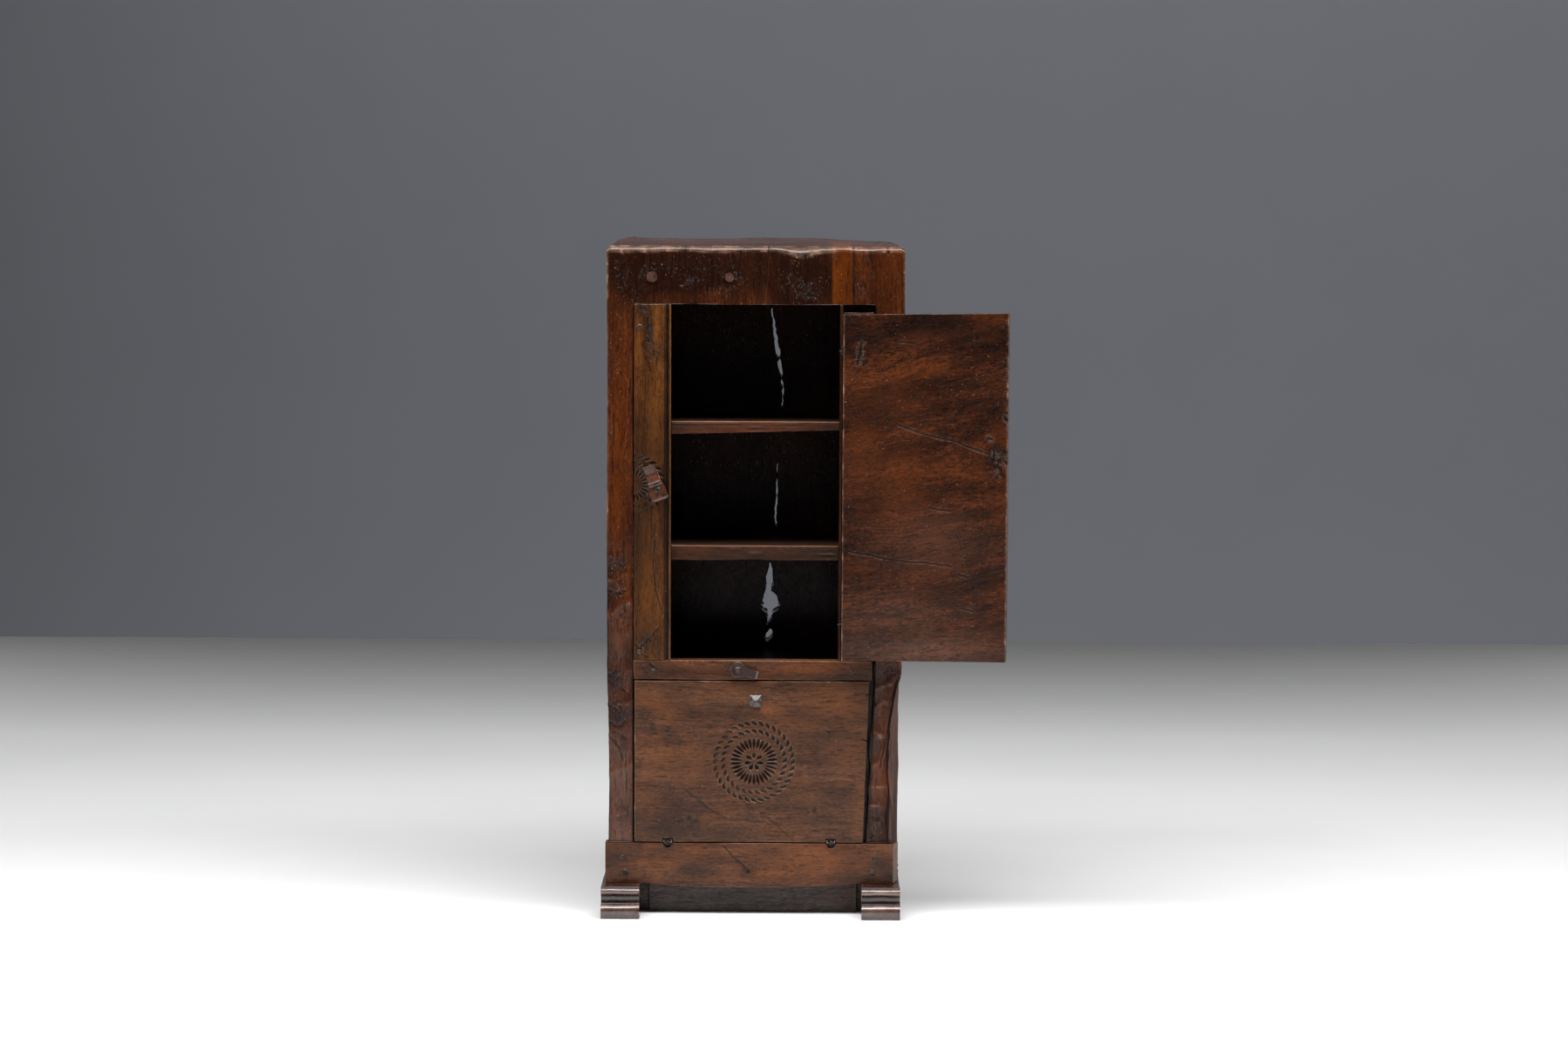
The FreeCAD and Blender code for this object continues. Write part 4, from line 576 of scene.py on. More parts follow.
# painted highlight: where the head's top front arris faces up and forward it is made lighter and
# glossier, partly as real polish and partly as a highlight painted into its colour
polish_and_highlight = np.clip(-2.6 * ways[:, 1] * ways[:, 2] - 0.95, 0, 0.5) * (z > 1200) * (y < 0)
polish_and_highlight *= 0.6 + 0.4 * lumps(trunk.points, 14, 19)
# painted shade: inside the hollow the walls are made nearly black through burn
inside = (np.abs(x) < 201) & (y > -14) & (y < 262) & (z > 125) & (z < 1130)
# the faces behind the front are joined in blocks, apart from those round the crack
middle = trunk.flat[trunk.quads].mean(1)
plain = (middle[:, 1] > 30) & ~((middle[:, 1] > 245) & (np.abs(middle[:, 0] - 39) < 17)
                                & (np.abs(middle[:, 2] - 790) < 335))
trunk.piece("cupboard_trunk", trunk_wood, "cabinet", "trunk_wood", ["hollowed_trunk"], plain,
            (3, 1, 3), 0.35, polish_and_highlight, glow=glow, burn=np.where(inside, 0.9, burn), scar=scar,
            fade=fade, dry=dry)

# Pegs in the head: round, driven in from the front, with their end grain showing.


def pitted(name, colour, light, metallic, rough, size, bump):
    """A finish with no grain direction: a pitted skin, lighter where the noise stands high."""
    material = bpy.data.materials.new(name)
    material.use_nodes = True
    tree = material.node_tree
    tree.nodes.clear()
    start = Layer(tree)
    spot = start.add("TexCoord", output="Object")
    pit = start.add("TexNoise", {"Vector": spot, "Scale": 1 / size, "Detail": 5.0,
                                 "Roughness": 0.65})
    cloud = start.add("TexNoise", {"Vector": spot, "Scale": 0.25 / size, "Detail": 2.0})
    colour = start.add("ValToRGB", {"Fac": pit * 0.6 + cloud * 0.4},
                       stops=((0.4, colour), (0.66, light)))
    bump = start.add("Bump", {"Height": pit, "Strength": bump, "Distance": 0.0008})
    surface = start.add("BsdfPrincipled", {
        "Base Color": colour, "Roughness": rough + (cloud - 0.5) * 0.5, "Metallic": metallic,
        "Normal": bump})
    start.add("OutputMaterial", {"Surface": surface})
    return material


def dress(finish, *nodes):
    """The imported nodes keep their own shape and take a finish."""
    for node in nodes:
        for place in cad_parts[node].material_slots:
            place.material = finish


peg_end_grain = pitted("peg_end_grain", tint(40, 21, 13), tint(90, 54, 36), 0, 0.4, 0.003, 1.0)
dress(peg_end_grain, "left_head_peg", "right_head_peg", "left_foot_dowels", "right_foot_dowels")

# Bottom rail: a golden board over the trunk's foot, grain along it, its lower edge bellied
# between the runners, held by four hand-forged spikes.

rail_wood = wood("bottom_rail_wood", "X", tint(50, 28, 17), tint(84, 49, 30),
                 tint(116, 71, 43), tint(130, 74, 34), tint(196, 152, 122), 0.7)
# how far its lower edge hangs down (x, drop), and the pockets of the flap's two linked eyes:
# their left and right ends, how far back they reach, and their bottom
BELLY = np.array([(-209, 0), (-204.9, 0), (-155.9, 4.96), (-41.5, 8), (52.4, 7.04),
                  (142.3, 4.4), (195.4, 0), (199.5, 0)])
EYE_POCKETS, POCKET_BACK, RAIL_POCKET = ((-168.5, -148.5), (133, 153)), -33.6, 127.1
left_pocket, right_pocket = EYE_POCKETS
rail = Stock(lines([-SIDE, *left_pocket, *right_pocket, 268], [3] * 5),
             lines([FACE, POCKET_BACK, REBATE], [2.2, 6]),
             lines([UNDER, RAIL_POCKET, FOOT], [2.6, 2.6]))
for pocket in EYE_POCKETS:
    rail.cut(pocket, (FACE - 1, POCKET_BACK), (RAIL_POCKET, FOOT + 1))
x, y, z = rail.skin()
rail.points[:, 2] -= np.interp(x, *BELLY.T) * (FOOT - z) / (FOOT - UNDER)
for eye in (-158.5, 143):
    near = np.clip(1 - (np.abs(x - eye) - 10) / 14, 0, 1) * np.clip((FOOT - z) / 8, 0, 1)
    rail.points[:, 0] += np.clip(eye - x, -10, 10) * 0.55 * near * (y < -30) * (z > 120)
rail.points[:, 0] -= (9 * np.clip((x - 220) / 48, 0, 1)
                      * np.clip((REBATE - y) / (REBATE - FACE), 0, 1))
rail.points = rounded(rail.points, (1, 2), (FACE, FOOT), (-1, 1), 1.5)
rail.uneven(0.45, (90, 20, 24), 21)
x, y, z = rail.points.T
front = y < -36
knot = np.hypot(x + 10, (z - 83) * 1.3)
mark = crack(x, z, [(-55, 130), (-40, 112), (-22, 96), (-12, 86)], 3) * front
rail.press(mark * 1.6 + np.clip(1 - knot / 6, 0, 1) * 2.2 * front, mark)
glow = stains(x, z, [(120, 104, 130, 26, 0.9), (-150, 100, 60, 16, 0.4), (40, 78, 60, 12, 0.8)])
burn = stains(x, z, [(-110, 84, 38, 16, 0.85), (-262, 100, 30, 30, 0.7), (-10, 83, 15, 10, 1.0),
                     (-10, 82, 5, 4, 1.0), (40, 118, 20, 10, 0.4), (235, 95, 24, 20, 0.8),
                     (250, 75, 16, 14, 0.9)])
rail.piece("bottom_rail_board", rail_wood, "cabinet", "bottom_rail_wood", ["bottom_rail"],
           rail.behind(-30), (3, 1, 3), glow=glow, burn=burn)
forged_iron = pitted("forged_nail_iron", tint(38, 30, 28), tint(104, 92, 86), 0.75, 0.5, 0.002,
                     0.6)
dress(forged_iron, "bottom_rail_spikes", "middle_rail_nails", "front_board_nails",
      "bearer_nails", "turn_button_nail", "latch_nail")

# Middle rail: the sill between the door and the flap, with a polished upper arris.

middle_rail_wood = wood("middle_rail_wood", "X", tint(52, 29, 18), tint(80, 46, 29),
                        tint(110, 66, 42), tint(126, 72, 38), tint(210, 168, 138), 0.5)
SILL_TOP = 475.5
sill = Stock(lines([-222, 216.5], [2.6]), lines([FACE, REBATE], [3]), lines([439.5, SILL_TOP], [2]))
sill.skin()
sill.points = rounded(sill.points, (1, 2), (FACE, SILL_TOP), (-1, 1), 2.5)
sill.uneven(0.4, (60, 16, 20), 31)
x, y, z = sill.points.T
mark = np.maximum(crack(x, z, [(-192, 468), (-184, 462)], 5),
                  crack(x, z, [(-200, 455), (-197, 450)], 3)) * (y < -36)
sill.press(mark * 1.8, mark)
sill.piece("middle_rail_board", middle_rail_wood, "cabinet", "middle_rail_wood", ["middle_rail"],
           glow=stains(x, z, [(90, 462, 90, 12, 0.8), (-120, 464, 50, 10, 0.5)]),
           burn=stains(x, z, [(-150, 455, 40, 10, 0.7), (180, 450, 50, 14, 0.6)]))

# Fixed boards on both sides of the door: golden, upright grain, a bead worked on the inner
# edge. The left one carries a carved half rosette, and the right one is notched at its top.


def gouge_ring(x, z, centre, radius, length, width, count, slant=0.0, steep=0.0):
    """Depth shares of a ring of like gouges round a centre. Each is an ellipse turned by its
    slant from the radius; a steep one is deepest at one long side, as a chip is."""
    across, up = x - centre[0], z - centre[1]
    number = np.arctan2(across, up) * count / (2 * pi)
    away = (number - np.round(number)) * 2 * pi / count * radius
    out = np.hypot(across, up) - radius
    along = out * cos(slant) + away * sin(slant)
    side = away * cos(slant) - out * sin(slant)
    bowl = np.clip(1 - (2 * along / length) ** 2 - (2 * side / width) ** 2, 0, 1) ** 0.7
    return bowl * np.clip(1 - steep / 2 + steep * side / width, 0, 1)


left_board_wood = wood("left_board_wood", "Z", tint(40, 21, 9), tint(70, 39, 17),
                       tint(104, 62, 30), tint(116, 68, 24), tint(186, 138, 96), 0.45)
right_board_wood = wood("right_board_wood", "Z", tint(40, 21, 12), tint(66, 36, 20),
                        tint(94, 54, 31), tint(110, 64, 32), tint(170, 122, 90), 0.4)
half_rosette = (-222, 798.4)
board = Stock(lines([-222, -166, -164.5, -161.5, -158.5, -154], [1.3, 0.8, 1.5, 1.5, 1.2], 0.4),
              lines([FACE, -38.5, -37.5, REBATE], [0.8, 1, 5], 0.4),
              lines([SILL_TOP, 735, 862, HEAD], [2.6, 1.4, 2.6]))
board.cut((-166, -164.5), (FACE - 1, -38.5), None)
board.cut((-161.5, -158.5), (FACE - 1, -37.5), None)
board.skin()
board.points = rounded(board.points, (0, 1), (-154, FACE), (1, -1), 1.5)
board.uneven(0.3, (24, 24, 130), 41)
x, y, z = board.points.T
front = y < -36.5
rays = np.maximum.reduce([
    gouge_ring(x, z, half_rosette, 53, 14, 7.5, 26, 0.85, 0.8),
    gouge_ring(x, z, half_rosette, 40, 11, 6.5, 22, 0.85, 0.8),
    gouge_ring(x, z, half_rosette, 23, 18, 4.6, 22)])
worn = np.clip(0.8 + lumps(board.points, 30, 43), 0.35, 1)
# the chips are darker in their deep parts, as dirt and painted shade
board.press(rays * worn * 3.2 * front, rays * worn * front)
x, y, z = board.points.T
for path, width, depth in (
    ([(-197, 1104), (-196, 1080), (-186, 1055)], 3, 1.2),
    ([(-183, 700), (-186, 650), (-180, 600), (-168, 560)], 2.2, 1.4),
    ([(-177, 534), (-181, 529)], 3.4, 1.1), ([(-184, 527), (-187, 521)], 3.4, 1.1),
    ([(-189, 520), (-193, 514)], 3.4, 1.1), ([(-196, 514), (-199, 507)], 3.4, 1.1),
    ([(-202, 508), (-204, 502)], 3.4, 1.1), ([(-207, 503), (-211, 494)], 4, 1.4),
    ([(-218, 504), (-208, 494)], 3, 1.0), ([(-206, 486), (-196, 480)], 3, 0.8),
    ([(-200, 1000), (-203, 880)], 1.4, 0.6), ([(-190, 760), (-187, 690)], 1.4, 0.6),
):
    mark = crack(x + lumps(board.points, 6, 44), z, path, width) * front
    board.press(mark * depth, mark)
x, y, z = board.points.T
scar = stains(x, z, [(-206, 1118, 12, 10, 0.9), (-192, 1070, 10, 34, 0.9),
                     (-180, 1040, 16, 16, 0.8), (-200, 506, 18, 20, 0.7),
                     (-206, 800, 30, 60, 0.3)])
board.pit(scar * front, (5, 5, 7), 45, 1.3, 0.4)
glow = stains(x, z, [(-184, 930, 16, 80, 0.8), (-195, 620, 22, 120, 0.6), (-180, 1090, 5, 40, 0.9),
                     (-212, 1060, 8, 50, 0.7)])
burn = stains(x, z, [(-196, 1085, 9, 34, 1.0), (-205, 1118, 12, 12, 0.8), (-176, 1040, 14, 14, 0.5),
                     (-208, 800, 28, 62, 0.55), (-196, 512, 24, 22, 0.6)])
# darker along the groove beside the bead
burn = np.maximum(burn, np.clip(3.6 - np.abs(x + 161), 0, 1))
# painted highlight along the bead's rounded edge, given as polish_and_highlight
bead = np.clip((x + 155.6) / 2, 0, 0.3) * (y < -38)
board.piece("left_fixed_board", left_board_wood, "cabinet", "left_board_wood",
            ["left_front_board"], board.behind(-30), (3, 1, 3), 0.35, bead, glow=glow, burn=burn,
            scar=scar)

# grooves beside the right board's bead, its notch, and the pockets of the door's linked eyes
NOTCH, LOWER_POCKET, UPPER_POCKET = 1114.5, (534.8, 552.2), (1035.8, 1053.2)
board = Stock(lines([154, 158.5, 160, 161.5, 164.5, 165.4, 166, 215],
                    [1.3, 1.5, 1.5, 1.5, 1, 1, 2], 0.4),
              lines([FACE, -38.5, -37.05, REBATE], [0.8, 1, 5], 0.4),
              lines([SILL_TOP, *LOWER_POCKET, *UPPER_POCKET, NOTCH, HEAD], [3] * 6))
board.cut((158.5, 161.5), (FACE - 1, -37.05), None)
board.cut((164.5, 166), (FACE - 1, -38.5), None)
board.cut((160, 216), None, (NOTCH, HEAD + 1))
for pocket in (LOWER_POCKET, UPPER_POCKET):
    board.cut((153, 165.4), (FACE - 1, -37.05), pocket)
board.skin()
board.uneven(0.3, (24, 24, 130), 42)
board.piece("right_fixed_board", right_board_wood, "cabinet", "right_board_wood",
            ["right_front_board"], board.behind(-30), (1, 1, 3), burn=0.3)

# Shelves and the floor of the upper part: dull boards, each with a nose between the fixed
# boards; the upper one is waney and thins out to the right.

shelf_wood = wood("shelf_wood", "X", tint(32, 19, 11), tint(54, 33, 20), tint(78, 51, 34),
                  tint(88, 44, 22), tint(150, 104, 76), 0.5, 0.5, 0.03)
SHELF_END, NOSE_END, NOSE, SHELF_BACK = 199.5, 153.5, -17, 249
for name, low, high, nose, seed in (("upper_shelf", 889.3, 914.3, True, 51),
                                    ("lower_shelf", 658.4, 685.4, True, 52),
                                    ("middle_floor", 444.5, 464.5, False, 53)):
    shelf = Stock(lines([-SHELF_END, -NOSE_END, NOSE_END, SHELF_END], [5, 3, 5]),
                  lines([NOSE, REBATE, SHELF_BACK], [1, 7]) if nose
                  else lines([REBATE, SHELF_BACK], [7]), lines([low, high], [2.2]))
    if nose:
        shelf.cut((-HOLLOW, -NOSE_END), (NOSE - 1, REBATE), None)
        shelf.cut((NOSE_END, HOLLOW), (NOSE - 1, REBATE), None)
    x, y, z = shelf.skin()
    if name == "upper_shelf":
        shelf.points[:, 2] = high - (high - z) * (1 - 0.38 * np.clip((x + 180) / 360, 0, 1))
    for side in (-1, 1):
        shelf.points = rounded(shelf.points, (0, 1), (SHELF_END * side, SHELF_BACK), (side, 1), 30)
    shelf.points = rounded(shelf.points, (1, 2), (shelf.lines[1][0], high), (-1, 1), 2)
    wane = np.clip(lumps(shelf.points, (34, 30, 9), seed), 0, 1) * (y < 0) * (z < high - 5)
    shelf.press((1 + lumps(shelf.points, (50, 40, 30), seed + 5)) * 0.4 + wane * 2.5)
    x, y, z = shelf.points.T
    shelf.piece(name + "_board", shelf_wood, "cabinet", "shelf_wood", [name],
                shelf.behind(20), (3, 1, 1),
                glow=stains(x, y, [(0, -17, 160, 12, 0.9 if name == "upper_shelf" else 0.25)]),
                # painted highlight along the upper front edge of each nose, partly real polish
                polish_and_highlight=np.clip((z - high + 2.4) / 2.4, 0, 0.6) * (y < -11),
                # painted shade: each board darkens towards the back of the hollow
                burn=np.clip((y + 5) / 60, 0, 0.75))

# Bearers: plain strips nailed to the hollow's walls, under both ends of each shelf.

bearer_wood = wood("bearer_wood", "Y", tint(48, 28, 20), tint(78, 48, 34), tint(106, 70, 50),
                   tint(120, 70, 40), tint(140, 100, 74), 0.5, 0.7, 0.0)
for name in [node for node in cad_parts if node.endswith("_bearer")]:
    low, high = (np.array(corner) * 1000 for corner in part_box(name))
    bearer = Stock(lines([low[0], high[0]], [4]), lines([low[1], high[1]], [10]),
                   lines([low[2], high[2]], [4]))
    bearer.skin()
    bearer.uneven(0.4, (14, 50, 14), 61)
    bearer.piece(name + "_strip", bearer_wood, "cabinet", "bearer_wood", [name], burn=0.4)

# Runners under the trunk: dark, handled and glossy, each toe moulded with a swell, a cove and
# a bead, and housed for the base board's tongue.

foot_wood = wood("foot_wood", "Y", tint(34, 17, 13), tint(58, 31, 24), tint(88, 52, 40),
                 tint(100, 58, 42), tint(170, 138, 126), 0.5, 0.24, 0.9, shine=0.6)


def toe_line(z):
    """How far the toe's front lies behind its foremost line: flat, swell, cove, then bead. The
    swell, the cove and the bead are arcs of circles, of 13, 12 and 6 mm radius."""
    swell = -32.05 - np.sqrt(np.clip(13 ** 2 - (z - 14) ** 2, 0, None))
    cove = -41.35 + np.sqrt(np.clip(12 ** 2 - (z - 34.5) ** 2, 0, None))
    bead = -31.6 - np.sqrt(np.clip(6 ** 2 - (z - 49.5) ** 2, 0, None))
    place = np.select([z < 7, z < 27, z < 44, z < 55], [-41 - 2 * z / 7, swell, cove, bead], -34)
    return np.where(z >= 55, -34, place) + 45


TONGUE = (-2, 6)
for side, left, right, housing in (("left", -280.5, -209, (-221, -208)),
                                   ("right", 199.5, 271, (198, 211.5))):
    runner = Stock(lines([left, (housing[0] if side == "left" else housing[1]), right], [3, 3]),
                   lines([-85, -60, *TONGUE, BACK], [2.5, 6, 4, 14]),
                   lines([0, 7, 27, 44, 55, UNDER], [1.6] * 5, 0.4))
    runner.cut(housing, TONGUE, None)
    x, y, z = runner.skin()
    runner.points[:, 1] += toe_line(z) * np.clip((-45 - y) / 40, 0, 1)
    for edge, way in ((left, -1), (right, 1)):
        runner.points = rounded(runner.points, (0, 2), (edge, UNDER), (way, 1), 2)
    runner.uneven(0.45, (26, 40, 14), 71)
    x, y, z = runner.points.T
    runner.piece(side + "_runner", foot_wood, "cabinet", "foot_wood", [side + "_runner_foot"],
                 # painted shade: the toe's cove is made darker
                 runner.behind(0), (3, 1, 3), 0.35, burn=stains(y, z, [(-74, 38, 16, 8, 0.7)]))

# Base board between the runners: grey and unpolished, tongued into both of them.

base_wood = wood("base_board_wood", "X", tint(50, 42, 42), tint(76, 66, 64), tint(104, 92, 88),
                 tint(96, 70, 56), tint(130, 116, 108), 0.5, 0.55, 0.05)
base = Stock(lines([-221, -193, 191.5, 211.5], [4, 4, 4]), lines([-10, *TONGUE, 10], [3, 3, 3]),
             lines([0, UNDER], [3]))
for tongue in ((-222, -193), (191.5, 212)):
    base.cut(tongue, (-11, TONGUE[0]), None)
    base.cut(tongue, (TONGUE[1], 11), None)
base.skin()
base.uneven(0.35, (30, 30, 12), 81)
base.piece("plinth_board", base_wood, "cabinet", "base_board_wood", ["base_board"],
           base.behind(0), (3, 1, 3))

# Linked eyes of bent wire: a ring on a shank in the fixed wood, a staple in what swings.

wire_iron = pitted("wire_iron", tint(34, 27, 25), tint(96, 84, 78), 0.8, 0.45, 0.0015, 0.5)
dress(wire_iron, *[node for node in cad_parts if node.endswith("_eye")])

# Door: one plank, worked shut and then swung open about its hinge. Its inner face shows a
# wavy figure, splits, a knot hole and chipped edges.

door_wood = wood("door_wood", "X", tint(22, 8, 4), tint(54, 25, 11), tint(96, 49, 24),
                 tint(98, 47, 15), tint(196, 152, 128), 0.45, wave=0.05, fall=9, smoke=0.12)
# the shut door: its free edge, its hinged edge and its inner face
FREE_EDGE, HINGED_EDGE, DOOR_BACK = -150.5, 151.5, -18
door = Stock(lines([FREE_EDGE, HINGED_EDGE], [2.2]), lines([FACE, DOOR_BACK], [3]),
             lines([480, 1112], [2.4]))
x, y, z = door.skin()
door.points[:, 2] += 5 * (HINGED_EDGE - x) / (HINGED_EDGE - FREE_EDGE)
for edge, way in ((FACE, -1), (DOOR_BACK, 1)):
    door.points = rounded(door.points, (0, 1), (FREE_EDGE, edge), (-1, way), 1.5)
    door.points = rounded(door.points, (0, 1), (HINGED_EDGE, edge), (1, way), 1.5)
door.uneven(0.35, (46, 30, 70), 91)
x, y, z = door.points.T
inner = y > -22
scratches = 0
for path, width, depth in (
    ([(116, 1062), (119, 1040), (124, 1022)], 3.5, 2),
    ([(50, 914), (0, 898), (-60, 884), (-115, 862)], 2.6, 0.6), ([(-115, 891), (-121, 889)], 6, 4),
    ([(-130, 824), (-130, 821)], 5, 3), ([(-145, 930), (-150, 922)], 6, 2.5),
    ([(-147, 850), (-151, 842)], 5, 2.5),
    ([(-10, 763), (-48, 759)], 2.8, 0.35), ([(-58, 717), (-84, 646)], 2.8, 0.2),
    ([(140, 681), (60, 668), (-49, 659)], 2.8, 0.5), ([(20, 1060), (60, 1066)], 2.8, 0.3),
    ([(-60, 645), (-84, 640)], 3, 0.5), ([(-66, 582), (-90, 576)], 3, 0.5),
):
    mark = crack(x + 2 * lumps(door.points, 16, 92), z + 2 * lumps(door.points, 25, 93), path,
                 width) * inner
    door.press(mark * depth, mark * min(depth, 1))
    if depth < 1:  # a shallow one has a pale, dusty line beside it
        line = crack(x + lumps(door.points, 16, 92), z + 3 + 2 * lumps(door.points, 25, 93), path,
                     2.4)
        scratches = np.maximum(scratches, line * (0.6 + 0.4 * lumps(door.points, 9, 95)))
x, y, z = door.points.T
scar = stains(x, z, [(120, 1036, 10, 26, 0.9), (-132, 862, 14, 16, 1), (-131, 835, 9, 16, 0.9),
                     (-147, 1000, 6, 90, 0.7), (-149, 926, 6, 10, 1), (-149, 848, 6, 10, 1),
                     (60, 530, 80, 20, 0.15)])
door.pit(scar * inner, (6, 6, 7), 94, 1.4, 0.5)
glow = stains(x, z, [(110, 860, 44, 60, 0.9), (40, 800, 60, 90, 0.6), (-20, 700, 60, 60, 0.5),
                     (60, 960, 70, 50, 0.4)])
burn = stains(x, z, [(-40, 1086, 100, 26, 0.8), (40, 1060, 60, 14, 0.5), (120, 1036, 14, 26, 0.8),
                     (-130, 860, 18, 34, 0.9), (140, 1080, 16, 60, 0.4),
                     (-135, 1000, 24, 90, 0.4), (70, 530, 80, 12, 0.4)])
# the door is paler and greyer in a broad band along its foot
fade = stains(x, z, [(0, 500, 150, 40, 0.6), (40, 560, 120, 50, 0.3), (-20, 700, 100, 60, 0.25)])
fade = np.maximum(fade, scratches * inner)
door.turn(170, (0, 1), 157.5, -45)
door.piece("plank_door", door_wood, "door", "door_wood", ["door_plank"],
           ~door.behind(-24), (3, 1, 3), 0.16, glow=glow, burn=burn, scar=scar, fade=fade)

# Flap: one brown board, grain across, chip-carved with a rosette of rope rings round a ring of
# rays and a small star. It drops about its lower edge.

flap_wood = wood("flap_wood", "X", tint(52, 31, 20), tint(82, 51, 34), tint(114, 75, 50),
                 tint(128, 76, 38), tint(186, 150, 122), 0.45)
rosette = (0.4, 287)
FLAP_LEFT, FLAP_RIGHT, FLAP_LOW, FLAP_POCKET, FLAP_TOP = -220.5, 211.5, 137, 143.9, 437
flap = Stock(lines([FLAP_LEFT, *left_pocket, -80, 81, *right_pocket, FLAP_RIGHT],
                   [3, 3, 3, 1.2, 3, 3, 3]),
             lines([FACE, POCKET_BACK, -15.5], [2.2, 6]),
             lines([FLAP_LOW, FLAP_POCKET, 206, 368, FLAP_TOP], [2.4, 3, 1.2, 3]))
for pocket in EYE_POCKETS:
    flap.cut(pocket, (FACE - 1, POCKET_BACK), (FLAP_LOW - 1, FLAP_POCKET))
x, y, z = flap.skin()
flap.points[:, 0] -= (np.clip((x - 150) / (FLAP_RIGHT - 150), 0, 1) * 9.5
                      * (FLAP_TOP - z) / (FLAP_TOP - FLAP_LOW))
flap.points = rounded(flap.points, (0, 1), (FLAP_LEFT, FACE), (-1, -1), 1.5)
flap.points = rounded(flap.points, (1, 2), (FACE, FLAP_TOP), (-1, 1), 1.5)
flap.uneven(0.35, (90, 30, 60), 101)
x, y, z = flap.points.T
front = y < -36
carving = np.maximum.reduce([
    gouge_ring(x, z, rosette, 71, 14, 8.5, 36, -0.9, 0.85),
    gouge_ring(x, z, rosette, 56.5, 13, 8, 29, -0.9, 0.85),
    gouge_ring(x, z, rosette, 33.5, 22, 5.8, 30), gouge_ring(x, z, rosette, 11.5, 13, 7, 7)])
worn = np.clip(0.9 + 0.6 * lumps(flap.points, 34, 102), 0.5, 1)
# the chips are darker in their deep parts, as dirt and painted shade
flap.press(carving * worn * 4.2 * front, carving ** 2 * worn * 1.1 * front)
x, y, z = flap.points.T
for path, width, depth in (
    ([(-123, 233), (-88, 203), (-52, 181)], 3.2, 0.45),
    ([(13, 194), (46, 166), (73, 141)], 3.2, 0.4), ([(12, 426), (40, 425)], 3, 0.4),
    ([(50, 423), (75, 421)], 3, 0.4), ([(198, 330), (210, 324)], 4, 1.8),
    ([(205, 412), (211, 416)], 4, 1.6), ([(-150, 210), (-128, 196)], 3.2, 0.3),
    ([(58, 226), (72, 205)], 3.2, 0.3),
):
    mark = crack(x + 3 * lumps(flap.points, 22, 103), z + 2 * lumps(flap.points, 16, 104), path,
                 width) * front
    flap.press(mark * depth, mark * depth / 2)
x, y, z = flap.points.T
scar = stains(x, z, [
    (-206, 372, 12, 10, 0.8), (-186, 352, 10, 16, 0.8), (-156, 342, 9, 14, 0.9),
    (-140, 324, 8, 10, 0.7), (138, 342, 7, 13, 0.9), (90, 234, 14, 7, 0.9),
    (108, 196, 26, 8, 0.9), (-120, 178, 34, 14, 0.9), (-96, 160, 26, 10, 0.8),
    (-170, 236, 26, 10, 0.6), (-166, 160, 12, 12, 0.6), (-60, 250, 60, 30, 0.25),
    (0, 287, 70, 70, 0.2), (-215, 290, 8, 90, 0.4)])
flap.pit(scar * front, (7, 7, 4), 105, 1.2, 0.3)
glow = stains(x, z, [(30, 384, 34, 12, 0.9), (-190, 405, 40, 22, 0.7), (60, 350, 90, 30, 0.35),
                     (200, 200, 20, 60, 0.5), (150, 400, 60, 34, 0.8), (180, 300, 40, 50, 0.5),
                     (60, 160, 60, 16, 0.4), (-60, 260, 60, 40, 0.25)])
burn = stains(x, z, [(-150, 160, 80, 26, 0.75), (-200, 365, 24, 24, 0.6), (-150, 345, 30, 24, 0.45),
                     (-30, 375, 30, 20, 0.4), (120, 200, 70, 30, 0.45), (-60, 150, 60, 14, 0.5),
                     (150, 345, 60, 20, 0.3), (-120, 240, 90, 20, 0.3)])
flap.piece("carved_flap", flap_wood, "flap", "flap_wood", ["flap_board"],
           flap.behind(-30), (3, 1, 3), 0.35, glow=glow, burn=burn, scar=scar)
stud_iron = pitted("stud_iron", tint(44, 40, 40), tint(160, 154, 150), 0.85, 0.46, 0.0012, 1.0)
dress(stud_iron, "flap_stud")

# Turn-button on the left board: a carved lever with a plate round its nail, a high crest, a
# saddle and a raised tip, standing tilted to the left.

button_wood = wood("turn_button_wood", "Z", tint(34, 15, 10), tint(66, 34, 24), tint(100, 58, 42),
                   tint(130, 76, 48), tint(214, 184, 170), 0.35, 0.24, 0.7, shine=0.4)
# the face it turns on, its widest half width, and its nail's place; u and v run across and up
# it from the nail, and w from its front to its back
SEAT, WIDEST, nail_x, nail_z = -40.4, 15.5, -178.2, 789.8
button = Stock(lines([-WIDEST, WIDEST], [1.3]), lines([0, 1], [0.08], 0.04),
               lines([-21, 47.5], [1.2]))
u, w, v = button.skin()
half = np.interp(v, [-21, -17.5, 0, 14.5, 47.5], [12, WIDEST, WIDEST, 12.5, 10.25])
thick = np.interp(v, [-21, -17.5, 10.5, 14.5, 30, 47.5], [5.5, 9, 9, 17, 12.5, 15])
button.points[:, 0] = nail_x + u / WIDEST * half
button.points[:, 1] = SEAT - thick * (1 - w)
button.points[:, 2] = nail_z + v
button.points = button.eased(3)
button.turn(20, (0, 2), nail_x, nail_z)
button.uneven(0.25, (9, 9, 16), 111)
button.piece("turn_button_lever", button_wood, "turn_button", "button_wood", ["turn_button"])

# Latch on the middle rail: a flat teardrop with a bevelled toe, turned aside from the flap.

